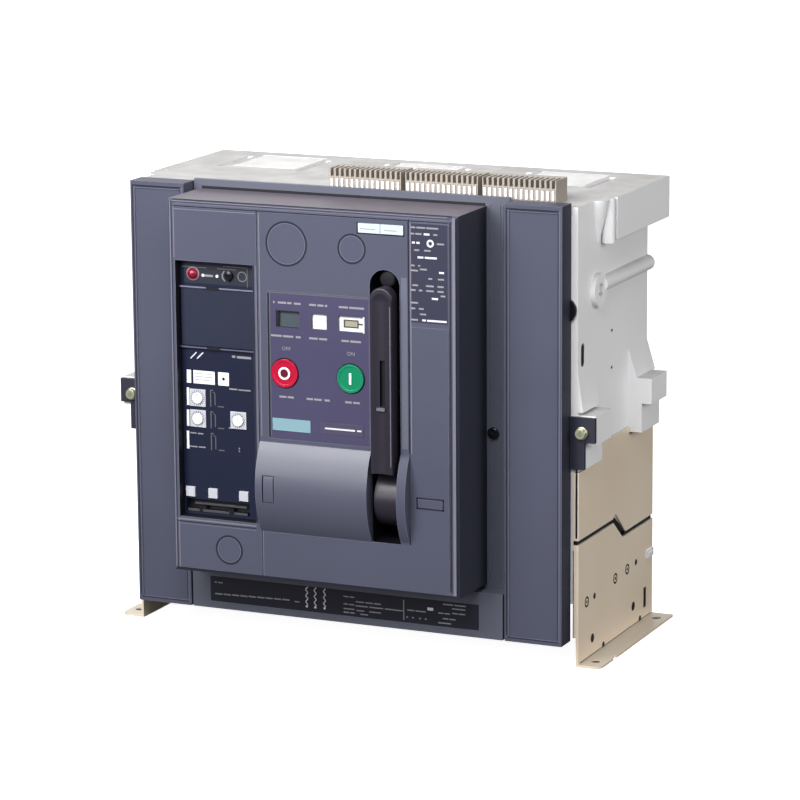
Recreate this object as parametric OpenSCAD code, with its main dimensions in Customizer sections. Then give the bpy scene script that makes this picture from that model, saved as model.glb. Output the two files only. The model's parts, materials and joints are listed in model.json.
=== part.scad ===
// Fixed-mounted three-pole air circuit breaker, draw-bolted by two out-turned feet.
// X runs to the right, Y to the back and Z up. The origin is the centre of the
// four foot holes, on the surface that the feet stand on.

/* [Body] */
// Width over the outer faces of the steel side plates
body_w = 460; // [450:1:480]
// Height of the arc chute tops above the feet
body_h = 434; // [430:1:450]
// Underside of the moulded pole housing
housing_z0 = 60; // [50:1:75]
// Front of the moulded pole housing, in front of the origin
housing_front = 97; // [97:1:105]
// Back of the moulded pole housing, behind the origin
housing_back = 88; // [84:1:95]
// Joint between the front and rear housing halves
housing_seam = 8; // [4:1:10]
// Thickness of the housing's side walls, partitions and floor
housing_wall = 5; // [4:0.5:6]
// Front face of the wall between mechanism bay and pole chambers, in front of the origin
bay_wall_y = 42; // [40:0.5:44]

/* [Side plates and feet] */
// Sheet thickness
plate_t = 2.5; // [2:0.25:3]
// Length of the side plates from front to back
plate_len = 200; // [196:1:206]
// Height of the front part of the split between foot bracket and side plate
split_front_z = 119.5; // [112:0.5:126]
// Height of the rear part of the split
split_rear_z = 100; // [88:0.5:104]
// Width of the split
split_gap = 4; // [2:0.5:5]
// Height of the side plate at its front
side_plate_z1 = 186.5; // [170:0.5:186.5]
// Height of the side plate at mid length
side_plate_z2 = 203; // [192:0.5:204]
// Width of the foot outside the side plate
foot_w = 22; // [20:1:30]
// Distance from the side plate's face to the foot hole's centre
foot_hole_in = 11; // [9:0.5:12]
// Distance between the foot holes from front to back
foot_hole_pitch = 164; // [150:1:170]
// Diameter of the foot holes
foot_hole_d = 9.5; // [7:0.5:11]
// Width of the front lip that the side plates turn inwards
plate_lip = 5.5; // [3:0.5:6]

/* [Front covers] */
// Thickness of the front shield
shield_t = 4.5; // [3.5:0.5:5]
// Width of the front shield
shield_w = 324; // [320:1:328]
// Top of the front shield
shield_z1 = 440; // [436:1:444]
// Underside of the front shield and of the wing covers
cover_z0 = 24; // [20:1:30]
// Top of the wing covers
wing_z1 = 437.5; // [434:0.5:439]
// Depth of the wing covers
wing_depth = 23; // [20:1:26]
// Gap between the shield and each wing cover
wing_gap = 2; // [1.5:0.5:4]
// How far the wing covers stop short of the housing's side
wing_inset = 6.5; // [4.5:0.5:9.5]
// Wall of the covers
cover_wall = 3; // [2:0.5:3.5]
// Width of the raised rim round each wing cover
wing_rim = 4.5; // [3:0.5:6]
// Radius of the clip at the back edge of each wing cover
clip_r = 11.8; // [10:0.2:12]
// Depth of the panel inside that rim
wing_sink = 1.2; // [0.6:0.1:1.6]
// Top of the lower band that steps forward
band_z1 = 68; // [62:1:70]
// Left edge of the plate let into the lower band
info_x0 = -143; // [-150:1:-130]
// Right edge of that plate
info_x1 = 138; // [120:1:150]
// Underside of that plate
info_z0 = 31; // [30:1:36]
// Top of that plate
info_z1 = 56; // [50:1:60]
// Thickness of the let-in plates
label_t = 1; // [0.6:0.1:1.4]

/* [Operator panel] */
// Left edge of the operator panel
op_x0 = -156; // [-160:1:-155]
// Right edge of the operator panel
op_x1 = 139; // [138.5:0.5:146]
// Underside of the operator panel
op_z0 = 73; // [71:0.5:75]
// Top of the operator panel
op_z1 = 431; // [428:1:436]
// Depth of the operator panel in front of the shield
op_depth = 69.5; // [69:0.5:72]
// Wall of the operator panel
op_wall = 3; // [2.5:0.5:3.5]
// Bevel round the front of the operator panel
op_bevel = 4; // [2:0.5:5]
// Width of the grooves between the panel's fields
seam_w = 1; // [0.6:0.1:1.4]
// Depth of those grooves
seam_d = 1; // [0.5:0.1:1.4]
// Radius of the large round knock-out
knockout_big_r = 20.8; // [18:0.2:22]
// Radius of the small round knock-outs
knockout_small_r = 13.8; // [10:0.2:15]

/* [Control faceplate] */
// Left edge of the faceplate
face_x0 = -52.5; // [-53:0.5:-52]
// Right edge of the faceplate
face_x1 = 50.5; // [49:0.5:51]
// Underside of the faceplate
face_z0 = 211; // [210:0.5:214]
// Top of the faceplate
face_z1 = 351; // [349:0.5:354]
// Radius of the two push buttons
button_r = 13.4; // [11:0.1:14]
// Height of the push buttons
button_z = 274; // [273:0.5:275]
// Place of the OFF button
off_x = -35.2; // [-37:0.2:-33]
// Place of the ON button
on_x = 32.2; // [30:0.2:32.4]
// How far the push buttons stand out
button_proud = 1.6; // [1:0.1:3]
// Travel of the push buttons
button_travel = 4; // [3:0.5:4]
// Radius of the button stems
stem_r = 4; // [3:0.25:4.5]
// Height of the indicator windows' middle
window_z = 325; // [322:0.5:326]
// Size of the windows from bottom to top
window_h = 14; // [12:0.5:15]
// Travel of the indicator flags
flag_travel = 14; // [12:0.5:15]

/* [Charging handle] */
// Middle of the handle slot
slot_x = 67; // [66.5:0.5:67.5]
// Width of the handle slot
slot_w = 30; // [29:0.5:30.5]
// Lower end of the handle slot
slot_z0 = 121; // [120:0.5:123]
// Upper end of the handle slot
slot_z1 = 378; // [374:0.5:382]
// Width of the handle
handle_w = 22.5; // [20:0.5:24]
// Thickness of the handle
handle_t = 13; // [11:0.5:14]
// Top of the handle
handle_z1 = 363; // [350:0.5:364]
// How far the handle stands out of the panel
handle_proud = 10; // [7:0.5:12]
// Axis of the handle hub, in front of the origin
hub_y = 147; // [146:0.5:149]
// Height of the handle hub's axis
hub_z = 160; // [158:0.5:162]
// Radius of the handle hub
hub_r = 27; // [25:0.5:28]
// Radius of the camshaft
cam_shaft_r = 8; // [6:0.5:9]
// Radius of the ratchet wheel
ratchet_r = 25; // [22:0.5:26]
// Ratchet teeth
ratchet_teeth = 20; // [16:1:28]

/* [Barrel cover] */
// Underside of the barrel cover
barrel_z0 = 120.5; // [120:0.5:121]
// Top of the barrel cover
barrel_z1 = 207; // [206:0.5:208]
// How far the barrel cover bulges out of the panel
barrel_bulge = 12; // [10:0.5:13]

/* [Trip unit] */
// Left edge of the trip unit
trip_x0 = -148; // [-150:0.5:-146]
// Right edge of the trip unit
trip_x1 = -67.5; // [-68:0.5:-67]
// Underside of the trip unit
trip_z0 = 127; // [126:0.5:129]
// Top of the trip unit
trip_z1 = 373.5; // [371:0.5:376]
// Depth of the trip unit's face behind the panel
trip_sink = 10; // [8:0.5:12]
// Height of the trip unit's upper ledge
ledge_hi_z = 347.6; // [347:0.2:348]
// Height of its lower ledge
ledge_lo_z = 290; // [288:0.5:292]
// Radius of the reset button
reset_r = 4.8; // [4:0.1:5]
// Side of the square keys
key_s = 9.5; // [8:0.1:10]
// Travel of the keys
key_travel = 1.5; // [1:0.1:2]
// Height of the keys
key_z = 149.5; // [149:0.5:151]
// Radius of the rotary switches
rotor_r = 5.2; // [4:0.1:5.6]

/* [Poles] */
// Width of the copper in each pole
copper_w = 90; // [80:1:92]
// Thickness of the terminal bars
bar_t = 16; // [12:1:18]
// Middle of the upper terminal bars, below the top of the arc chutes
upper_bar_drop = 134; // [130:1:138]
// Height of the lower terminal bars' middle
lower_bar_z = 130; // [128:1:131]
// How far the terminal bars reach behind the origin
bar_end = 120; // [116:1:130]
// Radius of the terminal bolt holes
bar_hole_r = 6.75; // [5.5:0.25:7]
// Distance between the two holes in a terminal bar
bar_hole_pitch = 50; // [40:1:55]
// Distance from the bar's end to its holes
bar_hole_in = 15; // [13:0.5:16]
// Pivot of the moving contacts, behind the origin
pivot_y = 24; // [22:0.5:26]
// Height of that pivot
pivot_z = 150; // [150:0.5:152]
// Radius of the pivot pins
pivot_r = 5; // [4:0.5:6]
// Opening angle of the moving contacts
open_angle = 15; // [13:0.5:16]
// Gap between moving and fixed contacts when closed
contact_gap = 0.4; // [0.3:0.1:1]
// Main shaft's axis, in front of the origin
main_y = 18; // [17:0.5:19]
// Height of the main shaft's axis
main_z = 205; // [204:0.5:206]
// Radius of the main shaft
main_r = 12; // [10:0.5:13]
// Turn of the main shaft from open to closed
main_turn = 53; // [50:1:54]
// Radius of the circle on which the shaft's rollers move
roller_arm = 40; // [37:0.5:40]
// Radius of those rollers
roller_r = 6; // [5:0.5:6]
// Splitter plates in each arc chute
splitters = 10; // [6:1:11]
// Thickness of the splitter plates
splitter_t = 2; // [1.5:0.25:2.5]
// Height of the arc chutes with their caps
chute_h = 109; // [104:1:112]
// Height of the arc chute caps
cap_h = 40; // [34:1:42]
// Front of the arc chute caps, in front of the origin
cap_front = 28; // [26:1:30]
// Back of the arc chute caps, behind the origin
cap_back = 115; // [105:1:118]
// How far the outer caps stand out of the side plates
cap_side = 10; // [6:1:14]

/* [Auxiliary terminals] */
// Left edge of the first terminal block
aux_x0 = -24.5; // [-30:0.5:-20]
// Width of a terminal block
aux_w = 73; // [66:1:74]
// Distance from one block to the next
aux_pitch = 77.5; // [76:0.5:79]
// Depth of a terminal block
aux_d = 28; // [25:1:38]
// Height of a terminal block
aux_h = 22; // [16:1:26]
// Terminals in a block
aux_pins = 14; // [8:1:16]

/* [Fits] */
// Radial play of shafts and pins in their bearings
run = 0.05; // [0.02:0.01:0.1]
// Gap round pieces that move past each other
free = 0.4; // [0.3:0.05:0.5]

/* [Hidden] */
$fn = 64;
eps = 0.01;

cover_blue = [0.42, 0.43, 0.51];
cover_dark = [0.20, 0.21, 0.29];
face_blue = [0.34, 0.35, 0.46];
trip_navy = [0.15, 0.17, 0.27];
moulding_grey = [0.82, 0.82, 0.84];
passivated = [0.72, 0.67, 0.57];
steel = [0.66, 0.67, 0.69];
copper = [0.80, 0.52, 0.36];
off_red = [0.78, 0.04, 0.18];
on_green = [0.0, 0.55, 0.37];
plate_teal = [0.37, 0.71, 0.71];
label_white = [0.93, 0.93, 0.94];
strip_beige = [0.66, 0.59, 0.52];
near_black = [0.06, 0.06, 0.08];

half_w = body_w / 2;
hx = half_w - plate_t;
pole_pitch = (2 * hx - housing_wall) / 3;
chamber_in = pole_pitch / 2 + housing_wall / 2;
cap_z0 = body_h - cap_h;
chute_z0 = body_h - chute_h;
upper_bar_z = body_h - upper_bar_drop;
tube_z = body_h - 80.5;
tube_r = 7.5;
nut_z = body_h - 84;
boss_y = -50;
hollow_r = 20;
boss_r = 16;
chamber_z0 = housing_z0 + housing_wall;
knob_x = shield_w / 2 - 16;
bay_x = knob_x - 8;
wing_x0 = max(shield_w / 2, -op_x0) + wing_gap;
wing_x1 = hx - wing_inset;
knob_z = 218;
shield_y = -housing_front - shield_t;
op_y = shield_y - op_depth;
wing_y = -housing_front - wing_depth;
plate_y0 = -plate_len / 2;
plate_y1 = plate_len / 2;
face_t = 2;
trip_y = op_y + trip_sink;
window_y = op_y + face_t + free;
flag_t = 1.4;
mech_x0 = -58;
mech_x1 = 44;
mech_t = 4;
mech_y0 = op_y + 13;
mech_z1 = body_h - 66;
latch_y = -118;
opening_latch_z = button_z + 14;
closing_latch_z = button_z - 14;
latch_r = 5;
slot_x0 = slot_x - slot_w / 2;
slot_x1 = slot_x + slot_w / 2;
slot_back = op_y + 56;
pocket_x0 = slot_x0 - 1;
pocket_x1 = slot_x1 + 1;
pocket_wall = 2;
pocket_z0 = slot_z0 - 1;
pocket_z1 = slot_z1 + 2;
barrel_x0 = face_x0 - 10;
barrel_r = (pow((barrel_z1 - barrel_z0) / 2, 2) + pow(barrel_bulge, 2)) / (2 * barrel_bulge);
barrel_zc = (barrel_z0 + barrel_z1) / 2;
barrel_yc = op_y - barrel_bulge + barrel_r;
spring_x = 8;
spring_y = -86;
seat_z0 = 200;
seat_z1 = body_h - 89;
yoke_z = 219;
yoke_t = 6;
fixed_face_y = pivot_y + 38;
trip_plunger_y = latch_y - 10;
clamp_z0 = 216;
clamp_z1 = 239.5;
clamp_out = 19;
clamp_lug_z0 = 190;
clamp_lug_out = 8.5;
clamp_y0 = -housing_front - 4.5;
clamp_bolt_x = hx + 6;
clamp_bolt_z = 225;
ct_depth = 26;

// Edge of the foot bracket, s being -1, or of the side plate, s being 1, where the two part
function split_line(s) = concat(
  [[plate_y0, split_front_z + s * split_gap / 2]],
  s < 0 ? [[-8, split_front_z - split_gap / 2]]
    : [[-9.5, split_front_z + split_gap / 2], [-2, split_front_z + split_gap / 2 + 4]],
  [[21 + 4 * s, split_rear_z + s * split_gap / 2], [plate_y1, split_rear_z + s * split_gap / 2]]
);
// Left and right limit of a pole's chamber, p being -1, 0 or 1
function chamber_x(p) = p == 0 ? [-chamber_in + housing_wall, chamber_in - housing_wall]
  : p > 0 ? [chamber_in, hx - housing_wall] : [housing_wall - hx, -chamber_in];
// Left and right limit of a pole's arc chute cap
function cap_x(p) = p == 0 ? [-pole_pitch / 2, pole_pitch / 2]
  : p > 0 ? [pole_pitch / 2, half_w + cap_side] : [-half_w - cap_side, -pole_pitch / 2];

module block(lo, hi) translate(lo) cube(hi - lo);
module cyl_x(x0, x1, y, z, r) translate([x0, y, z]) rotate([0, 90, 0]) cylinder(h = x1 - x0, r = r);
module cyl_y(y0, y1, x, z, r) translate([x, y1, z]) rotate([90, 0, 0]) cylinder(h = y1 - y0, r = r);
module cyl_z(z0, z1, x, y, r) translate([x, y, z0]) cylinder(h = z1 - z0, r = r);
// An outline in Y and Z, given thickness along X
module yz_sheet(x0, x1) translate([x0, 0, 0]) rotate([90, 0, 90]) linear_extrude(x1 - x0) children();
// An outline in X and Z, given thickness along Y
module xz_sheet(y0, y1) translate([0, y1, 0]) rotate([90, 0, 0]) linear_extrude(y1 - y0) children();
module other_side() mirror([1, 0, 0]) children();
module both_sides() {
  children();
  other_side() children();
}

// Sheet-metal foot bracket of the right side
module foot_bracket() {
  foot_x = half_w + foot_w;
  corner = 8;
  color(passivated) difference() {
    union() {
      yz_sheet(half_w - plate_t, half_w)
        polygon(concat([[plate_y1, 0], [plate_y0, 0]], split_line(-1)));
      linear_extrude(plate_t) {
        translate([half_w - plate_t, plate_y0]) square([foot_w + plate_t - corner, plate_len]);
        translate([half_w, plate_y0 + corner]) square([foot_w, plate_len - corner]);
        translate([foot_x - corner, plate_y0 + corner]) circle(r = corner);
      }
      block([half_w - plate_lip, plate_y0, cover_z0 + 4],
        [half_w, plate_y0 + plate_t, split_front_z - split_gap / 2]);
    }
    for (y = [-1, 1]) cyl_z(-1, plate_t + 1, half_w + foot_hole_in, y * foot_hole_pitch / 2, foot_hole_d / 2);
    cyl_z(-1, plate_t + 1, foot_x + 2, -60, 5);
    for (y = [-34, 66]) cyl_x(half_w - plate_t - 1, half_w + 1, y, plate_t + 2, 2);
    for (p = [[-58, 58.8, 1.8], [54, 64.3, 1.8], [-63, 19, 2.6], [47, 22, 2.6]])
      cyl_x(half_w - plate_t - 1, half_w + 1, p[0], p[1], p[2]);
    for (z = [16 : 3.5 : 30]) cyl_x(half_w - plate_t - 1, half_w + 1, 79, z, 2.2);
    block([half_w - plate_t - 1, 76.8, 16], [half_w + 1, 81.2, 30]);
    for (p = [[-78, 58, 4.6], [-2.5, 62, 4.6], [30, 63.2, 4.6]]) difference() {
      cyl_x(half_w - 0.6, half_w + 1, p[0], p[1], p[2]);
      cyl_x(half_w - 1, half_w + 2, p[0], p[1], p[2] - 1.2);
    }
  }
}
module left_foot_bracket() other_side() foot_bracket();
module right_foot_bracket() foot_bracket();

// Upper side plate of the right side
module side_plate() {
  top = [
    [plate_y1, 195], [33.5, 195], [33.5, side_plate_z2], [-39, side_plate_z2],
    [-39, side_plate_z1], [plate_y0, side_plate_z1]
  ];
  color(passivated) union() {
    yz_sheet(half_w - plate_t, half_w) polygon(concat(split_line(1), top));
    block([half_w - plate_lip, plate_y0, split_front_z + split_gap / 2],
      [half_w, plate_y0 + plate_t, side_plate_z1]);
  }
}
module left_side_plate() other_side() side_plate();
module right_side_plate() side_plate();

// What stands out of the right side wall of the front housing half
module front_side_relief() {
  translate([hx - 3, -45, body_h - 40]) cylinder(h = 40, r1 = 4, r2 = 13);
  cyl_z(cap_z0 - 2, body_h, hx + 6, -cap_front - 6.3, 6);
  cyl_y(boss_y + 10, housing_seam, hx, tube_z, tube_r);
  cyl_x(hx - 1, hx + 5, boss_y, nut_z, boss_r);
  xz_sheet(-housing_front, -54) polygon([[hx - 1, 280], [hx, 280], [hx + 5.5, 243], [hx - 1, 243]]);
  block([hx - 1, -housing_front, 213], [hx + 18, -57, clamp_z1 + 1]);
  block([hx - 1, -housing_front, clamp_lug_z0], [hx + 8, -54, 214]);
}
module front_housing() {
  color(moulding_grey) difference() {
    union() {
      block([-hx, -housing_front, housing_z0], [hx, housing_seam, body_h]);
      both_sides() front_side_relief();
    }
    // mechanism bay and its front opening
    block([housing_wall - hx, housing_wall - housing_front, chamber_z0],
      [hx - housing_wall, -bay_wall_y, body_h - housing_wall]);
    block([-bay_x, -housing_front - 1, chamber_z0], [bay_x, -bay_wall_y, body_h - housing_wall]);
    // pole chambers, without the bearing bosses of the main shaft
    difference() {
      for (p = [-1 : 1])
        block([chamber_x(p)[0], housing_wall - bay_wall_y, chamber_z0],
          [chamber_x(p)[1], housing_seam + 1, body_h - housing_wall]);
      both_sides() cyl_x(hx - 15, hx, -main_y, main_z, main_r + 6);
    }
    both_sides() cyl_x(-1, hx - 2.5, -main_y, main_z, main_r + run);
    // seat of the arc chutes
    block([-half_w - 20, -cap_front, cap_z0], [half_w + 20, housing_seam + 1, body_h + 1]);
    cyl_y(-housing_front - 1, housing_wall - housing_front + 1, knob_x, knob_z, 3 + run);
    // passage of the main shaft's drive lever
    block([-15.5, -bay_wall_y - 1, main_z - 15], [-4.5, -bay_wall_y + housing_wall + 1, main_z + 52]);
    both_sides() {
      translate([hx + 1, boss_y, nut_z]) rotate([0, 90, 0]) cylinder(h = 6, r = 7, $fn = 6);
      cyl_y(-housing_front - 1, 12 - housing_front, clamp_bolt_x, clamp_bolt_z, 3 + run);
      for (z = [304, 268.5]) block([hx - 2.5, -10.5, z - 1.3], [hx + 1, -5.5, z + 1.3]);
      for (z = [288, 301]) cyl_x(hx - housing_wall - 1, hx + 1, -84, z, 4.5);
      block([hx - housing_wall - 1, -88.5, 288], [hx + 1, -79.5, 301]);
    }
  }
}

// What stands out of the right side wall of the rear housing half
module rear_side_relief() {
  cyl_y(housing_seam, housing_back, hx, tube_z, tube_r);
  xz_sheet(34.5, 86) polygon([[hx - 1, 281], [hx, 281], [hx + 9.5, 250], [hx - 1, 250]]);
  block([hx - 1, 34.5, 226], [half_w + foot_w, 77, 251]);
  block([hx - 1, 34.5, 197.5], [hx + 14.5, 84, 227]);
}
module rear_housing() {
  color(moulding_grey) difference() {
    union() {
      block([-hx, housing_seam, housing_z0], [hx, housing_back, cap_z0]);
      both_sides() rear_side_relief();
    }
    for (p = [-1 : 1]) {
      block([chamber_x(p)[0], housing_seam - 1, chamber_z0],
        [chamber_x(p)[1], housing_back - housing_wall, body_h]);
      for (z = [upper_bar_z, lower_bar_z])
        block([p * pole_pitch - copper_w / 2, 0, z - bar_t / 2],
          [p * pole_pitch + copper_w / 2, housing_back + 1, z + bar_t / 2]);
    }
  }
}

// Arc chute of pole p: an open-bottomed box that holds the splitter plates, and its cap
module arc_chute(p) {
  x = chamber_x(p);
  wall = 3;
  back = housing_back - housing_wall - free;
  color(moulding_grey) difference() {
    union() {
      block([x[0] + free, -cap_front, chute_z0], [x[1] - free, back, cap_z0 + 1]);
      block([cap_x(p)[0] + free / 2, -cap_front, cap_z0], [cap_x(p)[1] - free / 2, cap_back, body_h]);
    }
    block([x[0] + free + wall, wall - cap_front, chute_z0 - 1], [x[1] - free - wall, back - wall, cap_z0]);
    // exhaust slots and the shallow field between them
    for (s = [-1, 1])
      block([p * pole_pitch + s * 43 - 3, 12, body_h - 3], [p * pole_pitch + s * 43 + 3, 84, body_h + 1]);
    block([p * pole_pitch - 35, 18, body_h - 1.2], [p * pole_pitch + 35, 96, body_h + 1]);
  }
}
module left_arc_chute() arc_chute(-1);
module centre_arc_chute() arc_chute(0);
module right_arc_chute() arc_chute(1);

// Steel plates that split the arc, upright across each chute
module splitter_plates() {
  wall = 3;
  y0 = wall - cap_front;
  pitch = (housing_back - housing_wall - free - 2 * wall + cap_front) / (splitters + 1);
  color(steel) for (p = [-1 : 1]) {
    x0 = chamber_x(p)[0] + free + wall;
    x1 = chamber_x(p)[1] - free - wall;
    mid = (x0 + x1) / 2;
    for (i = [1 : splitters]) xz_sheet(y0 + i * pitch - splitter_t / 2, y0 + i * pitch + splitter_t / 2)
      polygon([[x0, chute_z0 + 4], [mid - 16, chute_z0 + 4], [mid, chute_z0 + 30],
        [mid + 16, chute_z0 + 4], [x1, chute_z0 + 4], [x1, cap_z0], [x0, cap_z0]]);
  }
}

// A terminal bar of one pole, from y0 to its bolt holes behind the breaker
module terminal_bar(y0, z) {
  difference() {
    block([-copper_w / 2, y0, z - bar_t / 2], [copper_w / 2, bar_end, z + bar_t / 2]);
    for (s = [-1, 1])
      cyl_z(z - bar_t, z + bar_t, s * bar_hole_pitch / 2, bar_end - bar_hole_in, bar_hole_r);
  }
}
module upper_terminals() {
  color(copper) for (p = [-1 : 1]) translate([p * pole_pitch, 0, 0]) union() {
    terminal_bar(fixed_face_y, upper_bar_z);
    block([3 - copper_w / 2, fixed_face_y, upper_bar_z - 20],
      [copper_w / 2 - 3, fixed_face_y + 8, upper_bar_z + 18]);
  }
}
module lower_terminals() {
  ear = 8;
  color(copper) for (p = [-1 : 1]) translate([p * pole_pitch, 0, 0]) difference() {
    union() {
      terminal_bar(pivot_y - 12, lower_bar_z);
      for (s = [-1, 1])
        block([s * (copper_w / 2 - ear / 2) - ear / 2, pivot_y - 12, lower_bar_z],
          [s * (copper_w / 2 - ear / 2) + ear / 2, pivot_y + 12, pivot_z + 14]);
    }
    cyl_x(-copper_w, copper_w, pivot_y, pivot_z, pivot_r + run);
  }
}
// Ring-shaped current transformers round the lower terminal bars
module current_transformers() {
  side = 14;
  rise = 34;
  color(near_black) for (p = [-1 : 1]) translate([p * pole_pitch, 0, 0]) difference() {
    block([-copper_w / 2 - side, housing_back - housing_wall - ct_depth, lower_bar_z - rise],
      [copper_w / 2 + side, housing_back - housing_wall, lower_bar_z + rise]);
    block([-copper_w / 2, 0, lower_bar_z - bar_t / 2], [copper_w / 2, bar_end, lower_bar_z + bar_t / 2]);
  }
}

// Moving contact of pole p, standing open
module moving_contact(p) {
  ear = 8;
  reach = fixed_face_y - contact_gap - pivot_y;
  arm = copper_w / 2 - ear - 3;
  fingers = 6;
  pitch = 2 * arm / fingers;
  tip = upper_bar_z - pivot_z;
  color(copper) translate([p * pole_pitch, pivot_y, pivot_z]) rotate([open_angle, 0, 0]) union() {
    cyl_x(-copper_w / 2, copper_w / 2, 0, 0, pivot_r);
    cyl_x(ear + 0.5 - copper_w / 2, copper_w / 2 - ear - 0.5, 0, 0, pivot_r + 5);
    block([-arm, 4, 0], [arm, 22, 12]);
    block([-arm, 12, 8], [arm, 22, tip - 30]);
    for (i = [0 : fingers - 1]) {
      x = -arm + pitch * (i + 0.5);
      block([x - pitch * 0.36, 22 - eps, 40], [x + pitch * 0.36, 30, tip + 6]);
      block([x - pitch * 0.36, 30 - eps, tip - 14], [x + pitch * 0.36, reach, tip + 6]);
    }
  }
}
module left_moving_contact() moving_contact(-1);
module centre_moving_contact() moving_contact(0);
module right_moving_contact() moving_contact(1);

// Switching shaft, shown open: a roller for each pole, and the drive lever in the middle
module main_shaft() {
  color(steel) translate([0, -main_y, main_z]) union() {
    cyl_x(-hx + 5.4, hx - 5.4, 0, 0, main_r);
    both_sides() cyl_x(hx - 28.5, hx - 16, 0, 0, main_r + 2.6);
    for (p = [-1 : 1]) translate([p * pole_pitch + 22, 0, 0]) rotate([main_turn, 0, 0]) {
      block([-9, 0, -5], [-5, roller_arm, 5]);
      block([5, 0, -5], [9, roller_arm, 5]);
      cyl_x(-9, 9, roller_arm, 0, roller_r);
    }
    block([-13.5, -38, -6], [-6.5, 0, 6]);
    cyl_x(-13.5, -6.5, -38, 0, 6);
  }
}
// Extension springs that open the breaker
module opening_springs() {
  color(steel) both_sides() difference() {
    cyl_z(chamber_z0, main_z - main_r - 3, hx - 22, -main_y - 7, 7);
    cyl_z(chamber_z0 - 1, main_z, hx - 22, -main_y - 7, 5);
  }
}

// Shield between the operator panel and the housing, with its lower band stepped forward
module front_shield() {
  color(cover_dark) difference() {
    union() {
      block([-shield_w / 2, shield_y, cover_z0], [shield_w / 2, -housing_front, shield_z1]);
      block([-shield_w / 2, wing_y, cover_z0], [shield_w / 2, shield_y + eps, band_z1]);
    }
    block([cover_wall - shield_w / 2, wing_y + cover_wall, cover_z0 + cover_wall],
      [shield_w / 2 - cover_wall, -housing_front + 1, band_z1 - cover_wall]);
    block([info_x0, wing_y - 1, info_z0], [info_x1, wing_y + label_t, info_z1]);
    block([mech_x0 - 12, shield_y - 1, barrel_z0 - 2], [slot_x0 + 4, 0, body_h - 62]);
    for (x = [142.5, 153, 156, 159])
      block([x, shield_y - 1, band_z1 + 6], [x + 0.9, shield_y + 0.8, shield_z1 - 8]);
    cyl_y(shield_y - 1, 0, knob_x, knob_z, 3 + run);
  }
}
module shield_knob() {
  color(near_black) union() {
    cyl_y(shield_y - 3.5, shield_y, knob_x, knob_z, 5.6);
    cyl_y(shield_y - 1, 2 - housing_front, knob_x, knob_z, 3);
  }
}
module info_plate() {
  color(near_black)
    block([info_x0, wing_y, info_z0], [info_x1, wing_y + label_t, info_z1]);
}

// Wing cover of the right side
module wing_cover() {
  color(cover_blue) difference() {
    union() {
      block([wing_x0, wing_y, cover_z0], [wing_x1, -housing_front, wing_z1]);
      // round clip at the back edge
      cyl_y(-housing_front - 4, -housing_front - free, wing_x1 - 6, wing_z1 - 99, clip_r);
    }
    block([wing_x0 + cover_wall, wing_y + cover_wall + wing_sink, cover_z0 + cover_wall],
      [wing_x1 - cover_wall, -housing_front + 1, wing_z1 - cover_wall]);
    block([wing_x0 + wing_rim, wing_y - 1, cover_z0 + wing_rim],
      [wing_x1 - wing_rim, wing_y + wing_sink, wing_z1 - wing_rim]);
  }
}
module left_wing_cover() other_side() wing_cover();
module right_wing_cover() wing_cover();

// Bracket beside the right wing cover, bolted to the front of the housing
module clamp_bracket() {
  color(cover_dark) difference() {
    xz_sheet(clamp_y0, -housing_front - free) polygon([
      [wing_x1 + free, clamp_lug_z0], [hx + clamp_lug_out, clamp_lug_z0], [hx + clamp_lug_out, clamp_z0],
      [hx + clamp_out, clamp_z0], [hx + clamp_out, clamp_z1], [wing_x1 + free, clamp_z1]
    ]);
    cyl_y(clamp_y0 - 1, -housing_front + 1, clamp_bolt_x, clamp_bolt_z, 3 + run);
  }
}
module left_clamp_bracket() other_side() clamp_bracket();
module right_clamp_bracket() clamp_bracket();
module clamp_bolts() {
  color(steel) both_sides() union() {
    cyl_y(clamp_y0 - 1.5, clamp_y0, clamp_bolt_x, clamp_bolt_z, 6);
    cyl_y(clamp_y0 - 5.5, clamp_y0 - 0.5, clamp_bolt_x, clamp_bolt_z, 5);
    cyl_y(clamp_y0 - 1, 10 - housing_front, clamp_bolt_x, clamp_bolt_z, 3);
  }
}

// A rectangle in the panel's face, given as [x0, x1, z0, z1] and cut or raised from y0 to y1
module area(r, y0, y1) block([r[0], y0, r[2]], [r[1], y1, r[3]]);
// A groove along a rectangle's outline, down to y1
module frame_groove(r, y1) difference() {
  area(r, y1 - 5, y1);
  area([r[0] + seam_w, r[1] - seam_w, r[2] + seam_w, r[3] - seam_w], y1 - 6, y1 + 1);
}
// Side view of the bulge, from the panel's face outwards
module barrel_outline(inset) {
  intersection() {
    translate([barrel_yc, barrel_zc]) circle(r = barrel_r - inset, $fn = 128);
    translate([op_y - 2 * barrel_bulge, barrel_z0])
      square([2 * barrel_bulge + op_wall, barrel_z1 - barrel_z0]);
  }
}
module barrel_cover() {
  cheek = 2;
  color(cover_blue) difference() {
    yz_sheet(barrel_x0, slot_x0) barrel_outline(0);
    yz_sheet(barrel_x0 + cheek, slot_x0 - cheek) translate([eps, 0]) barrel_outline(3);
    frame_groove([-55, -43, 151, 177], op_y - barrel_bulge + 1.6);
  }
}

// A groove round a circle in the panel's face
module ring_groove(x, z, r) {
  difference() {
    cyl_y(op_y - 1, op_y + seam_d, x, z, r);
    cyl_y(op_y - 2, op_y + seam_d + 1, x, z, r - seam_w);
  }
}
module upright_seam(x, z0, z1) block([x - seam_w / 2, op_y - 1, z0], [x + seam_w / 2, op_y + seam_d, z1]);
module level_seam(z, x0, x1) block([x0, op_y - 1, z - seam_w / 2], [x1, op_y + seam_d, z + seam_w / 2]);

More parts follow.
